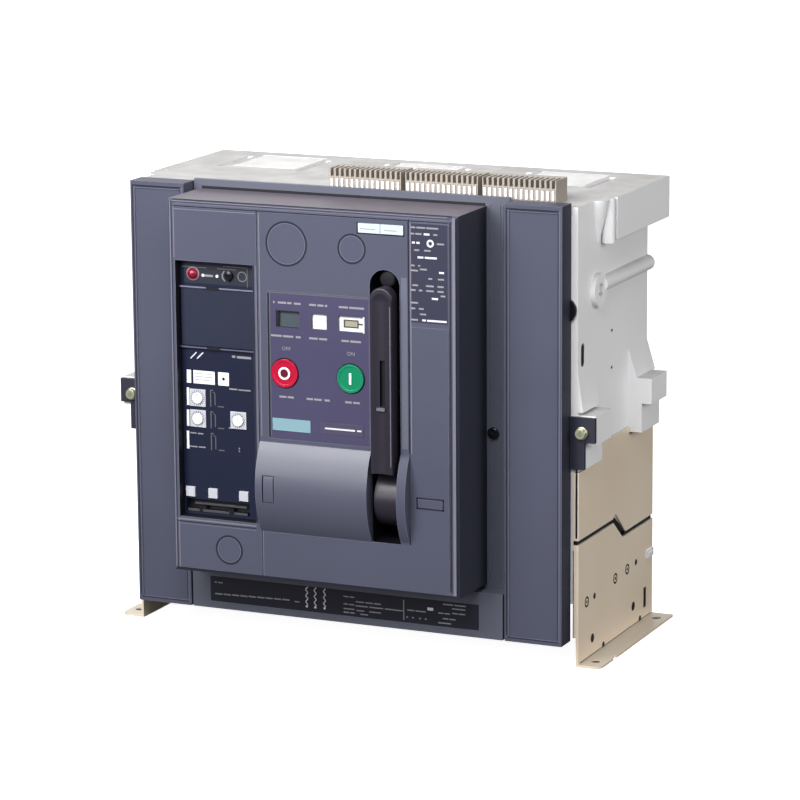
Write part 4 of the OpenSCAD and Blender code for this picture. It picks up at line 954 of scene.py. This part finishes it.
class BREAKER_OT_sheet_metal(bpy.types.Operator):
    """Side plates and foot brackets, with painted shade in their seam, holes and slot, along the plate's
    front edge and in the foot's fold, dark rings at the screw heads, and their clip
    """

    bl_idname = "breaker.sheet_metal"
    bl_label = "Side plates and feet"

    def execute(self, context):
        small_edge = context.scene.breaker_sizes.small_edge
        for label, _ in SIDES:
            soften(label + "_side_plate", small_edge)
        for label, _ in SIDES:
            foot = soften(label + "_foot_bracket", small_edge)
            darken(foot, "plate_shade", FOOT_TOP)
        for label, side in SIDES:
            self.seam(label, side)
            self.holes(label, side)
            with modelled(label + "_plate_clip", "white_plastic"):
                slab(side, 0, 1.5, 82, 99.5, 61, 69)
                slab(side, 0, 2.2, 86, 96, 63.5, 66.5)
        return {"FINISHED"}

    def seam(self, label, side):
        """Painted shade: a dark strip behind the gap between a side plate and its foot."""
        with modelled(label + "_plate_gap_shade", "black_plastic"):
            slab(side, -2.45, -1.7, *SEAM_FRONT)
            slab(side, -2.45, -1.7, *SEAM_BACK)
            slab(side, -2.45, -1.7, *SEAM_SLANT, SEAM_LEAN)
            slab(side, -5.2, -1.8, -99.5, -97.1, 116, 123)

    def holes(self, label, side):
        """Painted shade on the floors of the holes and the slot, along the plate's front edge and in the
        foot's fold; and the screw heads' dark rings.
        """
        with modelled(label + "_plate_hole_shades", "black_plastic", "ink_and_shade_black"):
            for y, z, radius in PLATE_HOLES:
                rod((side * (PLATE_FACE - 0.15), y, z), radius * 1.7, 0.5, "X", 0.1, sides=24)
            slab(side, -0.4, 0.08, 75.6, 82.4, 13, 33)
            slab(side, -3.1, -1.1, -100.15, -99.9, 124, 194)
            slab(side, -5.5, -4.7, -100.15, -99.9, 28, 112)
            for y in FOOT_HOLE_Y:
                rod((side * FOOT_HOLE_X, y, 1.2), 4.7, 0.8, "Z", 0.1, sides=24)
            for y, z in PLATE_RINGS:
                ring((side * (PLATE_FACE - 0.1), y, z), 5.3, 3.5, 0.4, "X", sides=24)
                rod((side * (PLATE_FACE - 0.05), y, z), 1.6, 0.3, "X", 0.05, sides=12)
            slab(side, -0.1, 0.08, -96, 96, 2.8, 3.6)


def slab(side, x0, x1, y0, y1, z0, z1, lean=0.0):
    """Adds a bevelled slab to one side plate, its x measured from the plate's face, leaning about X."""
    sided_bar(side, (PLATE_FACE + x0, PLATE_FACE + x1, y0, y1, z0, z1), 0.08, lean)


# Printed rules of the faceplate: {z: (x0, x1, x0, x1, ...)}.
FACE_RULES = {
    340.5: (-46.4, -44.8, -41.5, -33, -32, -27.5, -25, -18.1, -9.5, -2.5, -1, 5, 6.5, 8.9, 20.7, 30,
            31.2, 46.3),
    309: (-49.1, -38, -36.8, -26.2, -23.5, -18.6, -9.9, -1, 0.2, 8.5, 23, 30.5, 31.7, 42.8),
    251.4: (-41.3, -34, -32.8, -26.5, -13.4, -6.5, -5.5, 2.3, 5, 10.4, 26.1, 33, 34.2, 41.1),
}
# Words over the buttons: name, text and x; then their z and height.
BUTTON_WORDS, WORD_Z, WORD_HEIGHT = (("off_word", "OFF", -33.6), ("on_word", "ON", 32.5)), 297.4, 3.4


class BREAKER_OT_faceplate(bpy.types.Operator):
    """Faceplate of the buttons, its windows, words, rules and flags"""

    bl_idname = "breaker.faceplate"
    bl_label = "Faceplate"

    def execute(self, context):
        soften("control_faceplate", context.scene.breaker_sizes.small_edge)
        front = PANEL_FRONT
        rules("faceplate_rules", lines(FACE_RULES, 1.9), front)
        rules("faceplate_frame", [(-51.9, 349.2, 50, 350.2), (-50.5, 212, -49.6, 349.2)],
              front, material="print_dim", rise=0.04)
        rules("faceplate_shade", [
            (-52.4, 212, -50.8, 349), (-43.8, 317.4, -41, 333.2), (-41, 332.1, -20, 333.2),
            (-41, 317.4, -20, 318),
        ], front, "black_plastic", "ink_and_shade_black", rise=0.04)
        rules("charge_window_frame", [(45.1, 317.4, 46.4, 332.6)], front, material=None, rise=0.2)
        for name, text, x in BUTTON_WORDS:
            word(name, text, x, WORD_Z, WORD_HEIGHT, front)
        flag = front_of("charge_flag")
        rules("charge_flag_outline", [
            (24.2, 321, 26, 328.8), (38.2, 321, 39.7, 328.8), (26, 327.4, 38.2, 328.8),
            (26, 321, 38.2, 322.4), (39.7, 324.2, 44.6, 326),
        ], flag, "black_plastic", "label_dark", "charge_flag")
        rules("charge_flag_bar", [(26, 322.4, 38.2, 327.4)], flag, "beige_plastic", "strip_beige",
              "charge_flag")
        dress(frame["nodes"]["position_flag"], "black_plastic", "flag_grey")
        bare_plate("teal_label", (-48.7, 219), (-9.6, 230.6), 0.6, 0.12, "teal_plate")
        bare_plate("dark_label", (1, 219.5), (44.6, 230.6), 0.5, 0.12, "dark_plate")
        rules("dark_label_rules", [(5.5, 224.2, 36, 225.8), (38.2, 224.2, 42.6, 225.8)],
              front - 0.3, material="print_white", rise=0.3)
        return {"FINISHED"}


class BREAKER_OT_buttons(bpy.types.Operator):
    """Off and on buttons with their ring and bar, and painted shade in the gap round each"""

    bl_idname = "breaker.buttons"
    bl_label = "Buttons"

    def execute(self, context):
        for name in ("off_button", "on_button"):
            soften(name, 0.9 * MM, 3)
        front = front_of("off_button")
        off_x, _, z = middle_of("off_button")
        on_x = middle_of("on_button").x
        with modelled("off_ring", "white_plastic", body="off_button"):
            ring((off_x, front, z), 6.0, 4.1, 0.3)
        with modelled("off_disc", "red_plastic", "red_shade", "off_button"):
            rod((off_x, front, z), 4.0, 0.24, sides=28)
        with modelled("on_bar", "white_plastic", body="on_button"):
            bar((on_x - 1.2, front - 0.15, z - 5.4), (on_x + 1.2, front + 0.15, z + 5.4), 0.1)
        for label, x in (("off", off_x), ("on", on_x)):
            with modelled(label + "_button_gap_shade", "black_plastic", "ink_and_shade_black"):
                ring((x, PANEL_FRONT, z), 14.5, 13.9, 0.3, sides=48)
        return {"FINISHED"}


class BREAKER_OT_number_plates(bpy.types.Operator):
    """Two bare number plates at the panel's top"""

    bl_idname = "breaker.number_plates"
    bl_label = "Number plates"

    def execute(self, context):
        for label, x0, x1 in (("left", 41, 62.8), ("right", 63.4, 86)):
            bare_plate(label + "_number_plate", (x0, 411.2), (x1, 420), 0.4, 0.1, "pale_plate")
        rules("number_plate_shade", [
            (39.4, 410.4, 40.9, 420.8), (86.1, 410.4, 87.2, 420.8), (39.4, 409.8, 87.2, 411.1),
        ], PANEL_FRONT, "black_plastic", "ink_and_shade_black", rise=0.05)
        rules("number_plate_rules", [(43, 414.6, 58, 415.3), (67, 414.4, 80, 415.1)],
              PANEL_FRONT - 0.3, rise=0.3)
        return {"FINISHED"}


# Printed rules of the rating plate: {z: (x0, x1, x0, x1, ...)}, the plain ones and the bright ones.
RATING_RULES = {
    419.3: (93.6, 98, 99.2, 108, 109, 120.8), 413.5: (93.6, 97, 98, 104.2, 115.9, 119.7),
    405.3: (119.2, 126.4), 398.5: (96.9, 101.8, 106.7, 113.1), 384.2: (93.3, 97.2, 100.6, 102.8),
    379.6: (93.3, 100.5), 381: (102.4, 109.3), 372.8: (110.7, 114.5, 120.2, 126.2),
    366: (94.7, 100.4, 108.4, 116, 119.8, 125.8),
    361.5: (93.2, 98.1, 101.2, 104.6, 108.4, 116, 119.7, 125.8), 357.5: (122.7, 127.3),
    349.8: (93.1, 100.3), 344.5: (93.1, 97.6, 101.1, 106), 339.5: (102.2, 108.2), 334: (93.4, 100.2),
}
RATING_BRIGHT = {413.5: (106.4, 112.1), 405.3: (94.6, 97.6, 99, 102.2), 392: (100.2, 106, 107.2, 119.2),
                 379: (121.3, 126.2), 354.6: (114, 120.1), 334: (104.4, 108, 109.2, 128.7)}


class BREAKER_OT_rating_rules(bpy.types.Operator):
    """Rating plate with thin rules in place of its words"""

    bl_idname = "breaker.rating_rules"
    bl_label = "Rating plate"

    def execute(self, context):
        soften("rating_plate", context.scene.breaker_sizes.small_edge, material="cover_blue")
        front = front_of("rating_plate")
        rules("rating_field", [(93.2, 331.4, 129.8, 423)], front, "trip_navy", "rating_film", rise=0.04)
        rules("rating_rules", lines(RATING_RULES, 1.5), front)
        rules("rating_bright_rules", lines(RATING_BRIGHT, 1.8), front, material="print_white")
        with modelled("rating_ring", "white_plastic", "print_white"):
            ring((112.8, front, 405.3), 3.6, 1.9, 0.3, sides=24)
        return {"FINISHED"}


# Switch dials (x, z), and the radius and number of their ticks.
ROTORS, TICK_RADIUS, TICKS = ((-131.5, 241), (-131.5, 221), (-89, 222.5)), 6.7, 20
# The stretches of a ledge at the left and at the right of its gap, which the lines along it share.
LEDGES, LEDGE_GAP = ((-147.3, -119.6), (-106, -69.5)), (-119, -106.6)
# Heights (z0, z1) of the brackets beside the scales.
SCALES = ((233.3, 249.7), (212.4, 228.8), (191.1, 207.9))


class BREAKER_OT_trip_unit(bpy.types.Operator):
    """Trip unit: blank cover, labels, dials, keys, indicators and test socket"""

    bl_idname = "breaker.trip_unit"
    bl_label = "Trip unit"

    def execute(self, context):
        small_edge = context.scene.breaker_sizes.small_edge
        soften("trip_unit_blank_cover", small_edge, material="blank_blue")
        for name in ("rotary_switch_bases", "query_key", "clear_key", "test_key"):
            soften(name, small_edge, material="key_light")
        dress(frame["nodes"]["reset_button"], "red_plastic", "reset_red")
        self.ledges(TRIP_FRONT - LEDGE_RISE)
        self.printing(TRIP_FRONT)
        self.labels(TRIP_FRONT)
        self.dial_ticks()
        self.indicators(TRIP_FRONT)
        self.socket(TRIP_FRONT)
        return {"FINISHED"}

    def ledges(self, front):
        """Lines along the upper and the lower ledge, and painted shade in the gap of each."""
        rules("trip_ledge_lines", [(x0, 346.9, x1, 348.3) for x0, x1 in LEDGES],
              front, "black_plastic", "ledge_blue", rise=0.15)
        rules("trip_ledge_dim_lines", [(x0, 289.3, x1, 290.6) for x0, x1 in LEDGES],
              front, "black_plastic", "ledge_dim", rise=0.15)
        x0, x1 = LEDGE_GAP
        rules("trip_ledge_gap", [(x0, 288.4, x1, 291.4), (x0, 346.2, x1, 348.9)],
              front, "black_plastic", "ink_and_shade_black", rise=0.1)

    def printing(self, front):
        """Rules, brackets and strips on the film."""
        rules("trip_strip_shade", [(-143.6, 351, -70.6, 368.6)], front, "black_plastic", "strip_shade",
              rise=0.03)
        rules("trip_rules", [
            (-95, 282.2, -91.5, 284.4), (-89.8, 282, -75, 284.2), (-98.3, 251.3, -90, 252.7),
            (-88.8, 251.2, -76, 252.4), (-124.2, 357.7, -113.5, 359.7), (-140.4, 205.8, -134, 207),
            (-132.5, 205.6, -126.8, 206.8), (-141.7, 192.6, -133, 193.8),
            (-131.8, 192.6, -124.6, 193.8), (-99.5, 213.7, -96.6, 215.1), (-89.4, 192, -88.2, 196),
        ], front)
        rules("trip_dim_rules", [
            (-145.6, 365.6, -132, 366.5), (-130.8, 365.6, -120, 366.5), (-109, 365.6, -89, 366.5),
            (-78.1, 350, -77.3, 368.6), (-103, 368.2, -77.3, 368.9),
        ], front, material="print_dim")
        brackets = []
        for z0, z1 in SCALES:
            brackets += [
                (-118.8, z0, -117.7, z1), (-114.2, z0 + 1.5, -113.2, z1 - 3),
                (-117.7, z1 - 1, -115.6, z1), (-115.8, z1 - 3, -114.2, z1 - 2),
                (-111, z0 + 0.2, -104.5, z0 + 1.2),
            ]
        rules("trip_scale_brackets", brackets, front, material="print_dim")
        rules("trip_white_strips", [
            (-143.4, 233, -140.8, 250), (-143.8, 212.7, -141.2, 228.6), (-144.3, 190.8, -141.7, 208),
        ], front, material=None)

    def labels(self, front):
        """White labels with their grey rules, the black dots and the slanted strokes."""
        with modelled("trip_labels", "white_plastic"):
            for x0, x1 in ((-143, -138.4), (-136, -113.4), (-109.9, -98.6)):
                bar((x0, front - 0.3, 254.6), (x1, front + 0.3, 267.2), 0.15)
        rows = [(-134.4, z, x1, z + 0.8) for z, x1 in ((264, -117), (261, -116), (258, -119))]
        rules("trip_label_rules", rows, front - 0.3, material="label_grey", rise=0.04)
        with modelled("trip_label_dot", "black_plastic", "ink_and_shade_black"):
            rod((-104.2, front - 0.35, 261), 1.5, 0.3, edge=0.05, sides=20)
            rod((-87.6, front - 0.05, 194), 1.5, 0.3, edge=0.05, sides=20)
        with modelled("trip_strokes", "white_plastic", "print_white"):
            for ends in ((-138.6, 278.4, -132.2, 284.8), (-131.8, 278.6, -125.4, 284.8)):
                stroke(*ends, 1.1, front - 0.08, 0.3)

    def dial_ticks(self):
        """Short ticks round each switch dial, on its base."""
        front = front_of("rotary_switch_bases")
        with modelled("dial_ticks", "black_plastic", "label_dark"):
            for x, z in ROTORS:
                for i in range(TICKS):
                    a = math.tau * (i + 0.5) / TICKS
                    tick_x, tick_z = x + TICK_RADIUS * math.cos(a), z + TICK_RADIUS * math.sin(a)
                    bar((tick_x - 0.75, front - 0.2, tick_z - 0.28),
                        (tick_x + 0.75, front + 0.1, tick_z + 0.28), turn=(0, -a, 0))

    def indicators(self, front):
        """Collar, lamps, plug and lock seat of the top strip."""
        with modelled("reset_collar", "white_plastic", "collar_pink"):
            ring((-134.3, front - 0.1, 360), 6.6, 5.2, 0.8)
        with modelled("trip_lamps", "white_plastic"):
            for x in (-123.8, -109.1):
                rod((x, front - 0.2, 358.8), 1.5, 0.9, edge=0.3, segments=2, sides=20)
        with modelled("memory_plug", "black_plastic", "gloss_black"):
            rod((-96.2, front - 1.2, 360.6), 4.2, 3.4, edge=0.7, segments=2, sides=28)
            bar((-98.6, front - 2.4, 355.4), (-93.8, front + 0.4, 360.2), 0.5, turn=(0, math.pi / 4, 0))
        with modelled("memory_plug_rim", "white_plastic", "print_grey"):
            for ends in ((-101.4, 364.2, -103.4, 361.4), (-103.6, 361.8, -103.6, 357.4),
                         (-103.4, 357.8, -101.2, 354.6)):
                stroke(*ends, 1.1, front - 0.2, 0.4)
        with modelled("lock_seat", "black_plastic", "socket_light"):
            ring((-82.9, front + 0.4, 360), 4.9, 4.0, 1.4, sides=28)
            rod((-82.9, front + 1.5, 360), 2.2, 1.0, edge=0.2, sides=20)

    def socket(self, front):
        """Lighter bars of the test socket."""
        with modelled("socket_bars", "black_plastic", "socket_grey"):
            bar((-139, front + 3.6, 136.2), (-84, front + 6.2, 138.4), 0.3)
            for x0, x1 in ((-144.4, -132.2), (-128.6, -100.8), (-95.4, -81.4)):
                bar((x0, front - 0.2, 130.4), (x1, front + 0.5, 132.6), 0.2)


# Printed rules of the information strip: {z: (x0, x1, x0, x1, ...)}.
INFO_RULES = {
    50: (-138.6, -136, -134.8, -129.9, -1.5, 4, 5, 9.9), 46: (11.2, 20, 21.2, 29, 30, 37.5),
    42.6: (-1.5, 3, 4, 9.9), 42: (11.1, 24, 25.5, 40, 41.5, 60), 43.5: (64.8, 72, 73.2, 83.7),
    38.1: (-1.5, 9.9), 34.5: (-1.5, 4.4, 5.4, 9.9, 96.6, 109.5), 37.5: (12, 20, 25.4, 37.4),
    44: (96.7, 102, 103, 108.4), 53: (101.4, 112, 113.2, 124.9), 49.5: (110.8, 124.2),
    45: (110.8, 117, 118, 124.2), 39: (101.3, 107, 108, 114.3),
}
# Zigzag marks of the strip: their x, their foot and the height and number of their strokes.
WAVES, WAVE_FOOT, WAVE_STEP, WAVE_STROKES = (-40.2, -31.3, -21.5), 37.5, 3, 6


class BREAKER_OT_info_rules(bpy.types.Operator):
    """Dark strip under the panel with thin rules in place of its words"""

    bl_idname = "breaker.info_rules"
    bl_label = "Information strip"

    def execute(self, context):
        soften("info_plate", context.scene.breaker_sizes.small_edge, material="info_film")
        front = front_of("info_plate")
        rows = lines(INFO_RULES, 1.2) + [(60.6, 33.4, 61.6, 53), (-53.3, 38.8, -48, 40), (16, 33.6, 24, 34.6)]
        rows += [(-138.2 + 9 * i, 37.9 + 0.2 * i, -130.4 + 9 * i, 39.3 + 0.2 * i) for i in range(9)]
        rows += [(x - 0.9, 35.8, x + 0.9, 37.2) for x in (64.7, 70.7, 77.8, 83.7)]
        rules("info_rules", rows, front)
        rules("info_mark", [(85.5, 45.4, 91.5, 48.2)], front, material="print_white")
        with modelled("info_waves", "white_plastic", "print_white"):
            for x in WAVES:
                for i in range(WAVE_STROKES):
                    lean = 1.2 if i % 2 else -1.2
                    z = WAVE_FOOT + WAVE_STEP * i
                    stroke(x - lean, z, x + lean, z + WAVE_STEP, 1.0, front - 0.08, 0.3)
                rod((x, front, 36), 1.2, 0.3, sides=16)
        return {"FINISHED"}


# Boxes round the walls of the barrel's slot, at its left, right, foot and head, which get painted shade.
BARREL_SLOT = (
    ((-56.5, -200, 150), (-54, -150, 178)), ((-44, -200, 150), (-41.5, -150, 178)),
    ((-54, -200, 149.5), (-44, -150, 152)), ((-54, -200, 176), (-44, -150, 178.5)),
)
# Boxes round the grip's right side and round the walls of the slot in its front, which get painted shade.
GRIP_SIDE = ((77.3, -180.6, 180), (78.6, -140, 346))
GRIP_SLOT = ((64.6, -180.9, 251.6), (70.9, -168, 295.4))


def grip_outline(edge):
    """Whether an edge belongs to the front outline of the handle's grip."""
    x, y, z = ((edge.verts[0].co + edge.verts[1].co) / 2 / MM)
    return y < -180.5 and z > 188 and (x < 56.2 or x > 77.8 or z > 351) and edge.calc_face_angle(0) > 0.9


class BREAKER_OT_handle(bpy.types.Operator):
    """Charging handle, its stop and the barrel beside it, with painted shade in the slots and on the grip's
    side, and painted highlights on the grip's rims
    """

    bl_idname = "breaker.handle"
    bl_label = "Charging handle"

    def execute(self, context):
        s = context.scene.breaker_sizes
        barrel = soften("barrel_cover", s.edge, material="barrel_blue")
        darken(barrel, "cover_groove", *BARREL_SLOT)
        grip = soften("charging_handle", s.edge, 3, "handle_dark", grip_outline)
        darken(grip, "ink_and_shade_black", GRIP_SIDE)
        darken(grip, "black_plastic", GRIP_SLOT)
        with modelled("handle_stop", "cover_dark", "black_plastic"):
            rod((67, -158, 368.4), 8.5, 14, "Y", 2.5, 4)
        self.grip_lines()
        return {"FINISHED"}

    def grip_lines(self):
        """Painted highlights on the rims of the grip's front and of its slot."""
        front = front_of("charging_handle")
        with modelled("grip_rim_highlights", "cover_dark", "handle_painted_highlight", "charging_handle"):
            bar((75.9, front - 0.05, 196), (76.8, front + 0.2, 346), 0.03)
            bar((62.4, front - 0.12, 248), (70.6, front + 0.2, 251.2), 0.05)


# Places of the two clamp bolts.
CLAMP_BOLT_X, CLAMP_BOLT_Z = (-233.5, 233.5), 225


class BREAKER_OT_fasteners(bpy.types.Operator):
    """Shield knob and clamp bolts, with painted shade standing for the knob's slot and the bolts' hex sockets
    """

    bl_idname = "breaker.fasteners"
    bl_label = "Fasteners"

    def execute(self, context):
        soften("shield_knob", 1.2 * MM, 4, "gloss_black")
        soften("clamp_bolts", 0.8 * MM, 3, "zinc")
        front = front_of("clamp_bolts")
        with modelled("bolt_recesses", "black_plastic", "recess_painted_shade"):
            for x in CLAMP_BOLT_X:
                rod((x, front, CLAMP_BOLT_Z), 2.5, 0.3, edge=0.05, sides=6)
        with modelled("knob_slot_shade", "black_plastic", "ink_and_shade_black"):
            bar((142.4, -105.12, 217.4), (149.6, -104.9, 218.6), 0.05, turn=(0, 0.5, 0))
        return {"FINISHED"}


class BREAKER_OT_terminal_strips(bpy.types.Operator):
    """Auxiliary terminal strips with their pins, and the main terminals"""

    bl_idname = "breaker.terminal_strips"
    bl_label = "Terminals"

    def execute(self, context):
        soften("aux_terminal_blocks", 0.25 * MM, 1)
        soften("aux_terminal_pins", 0.3 * MM, 2)
        for name in ("upper_terminals", "lower_terminals"):
            soften(name, 0.8 * MM)
        return {"FINISHED"}


# Springs: length, coil radius and wire radius in millimetres, and turns; and the places of their feet.
CLOSING_SPRING, CLOSING_FOOT = (116.8, 13, 1.5, 13), (8, -86, 226.6)
OPENING_SPRING, OPENING_FOOT = (122.8, 5.9, 1.1, 30), (205.5, -25, 66.1)


class BREAKER_OT_springs(bpy.types.Operator):
    """Closing and opening springs as wound wire"""

    bl_idname = "breaker.springs"
    bl_label = "Springs"

    def execute(self, context):
        closing = coil("closing_spring_coil", CLOSING_FOOT, *CLOSING_SPRING, BODY_OF["closing_spring"])
        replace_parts(closing, "closing_spring")
        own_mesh(closing)
        x, y, z = OPENING_FOOT
        for label, side in SIDES:
            opening = coil(label + "_opening_spring_coil", (side * x, y, z), *OPENING_SPRING,
                           BODY_OF["opening_springs"])
            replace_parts(opening, "opening_springs")
        return {"FINISHED"}


class BREAKER_OT_plain_nodes(bpy.types.Operator):
    """Finishes for the solids that keep their own shape"""

    bl_idname = "breaker.plain_nodes"
    bl_label = "Plain solids"

    def execute(self, context):
        for name, piece in frame["nodes"].items():
            if not piece.hide_render and name not in ("position_flag", "reset_button"):
                dress(piece, SLOT_OF[name])
        return {"FINISHED"}


OPERATORS = (
    BREAKER_OT_camera, BREAKER_OT_stage, BREAKER_OT_covers, BREAKER_OT_housings,
    BREAKER_OT_sheet_metal, BREAKER_OT_faceplate, BREAKER_OT_buttons, BREAKER_OT_number_plates,
    BREAKER_OT_rating_rules, BREAKER_OT_trip_unit, BREAKER_OT_info_rules, BREAKER_OT_handle,
    BREAKER_OT_fasteners, BREAKER_OT_terminal_strips, BREAKER_OT_springs, BREAKER_OT_plain_nodes,
)


class BREAKER_PT_panel(bpy.types.Panel):
    """Lists the breaker's operators"""

    bl_idname = "BREAKER_PT_panel"
    bl_label = "Breaker"
    bl_space_type = "VIEW_3D"
    bl_region_type = "UI"
    bl_category = "Breaker"

    def draw(self, context):
        for settings in (context.scene.breaker_sizes, context.scene.breaker_colours):
            for key in settings.bl_rna.properties.keys():
                if key not in ("rna_type", "name"):
                    self.layout.prop(settings, key)
        for operator in OPERATORS:
            self.layout.operator(operator.bl_idname)


CLASSES = (BreakerSizes, BreakerColours, *OPERATORS, BREAKER_PT_panel)


def register():
    """Adds the classes, and the settings to the scene."""
    for made in CLASSES:
        bpy.utils.register_class(made)
    bpy.types.Scene.breaker_sizes = bpy.props.PointerProperty(type=BreakerSizes)
    bpy.types.Scene.breaker_colours = bpy.props.PointerProperty(type=BreakerColours)


def unregister():
    """Takes the settings and the classes away."""
    del bpy.types.Scene.breaker_colours
    del bpy.types.Scene.breaker_sizes
    for made in reversed(CLASSES):
        bpy.utils.unregister_class(made)


def main():
    register()
    for operator in OPERATORS:
        group, name = operator.bl_idname.split(".")
        getattr(getattr(bpy.ops, group), name)()
    deselect()


if __name__ == "__main__":
    main()
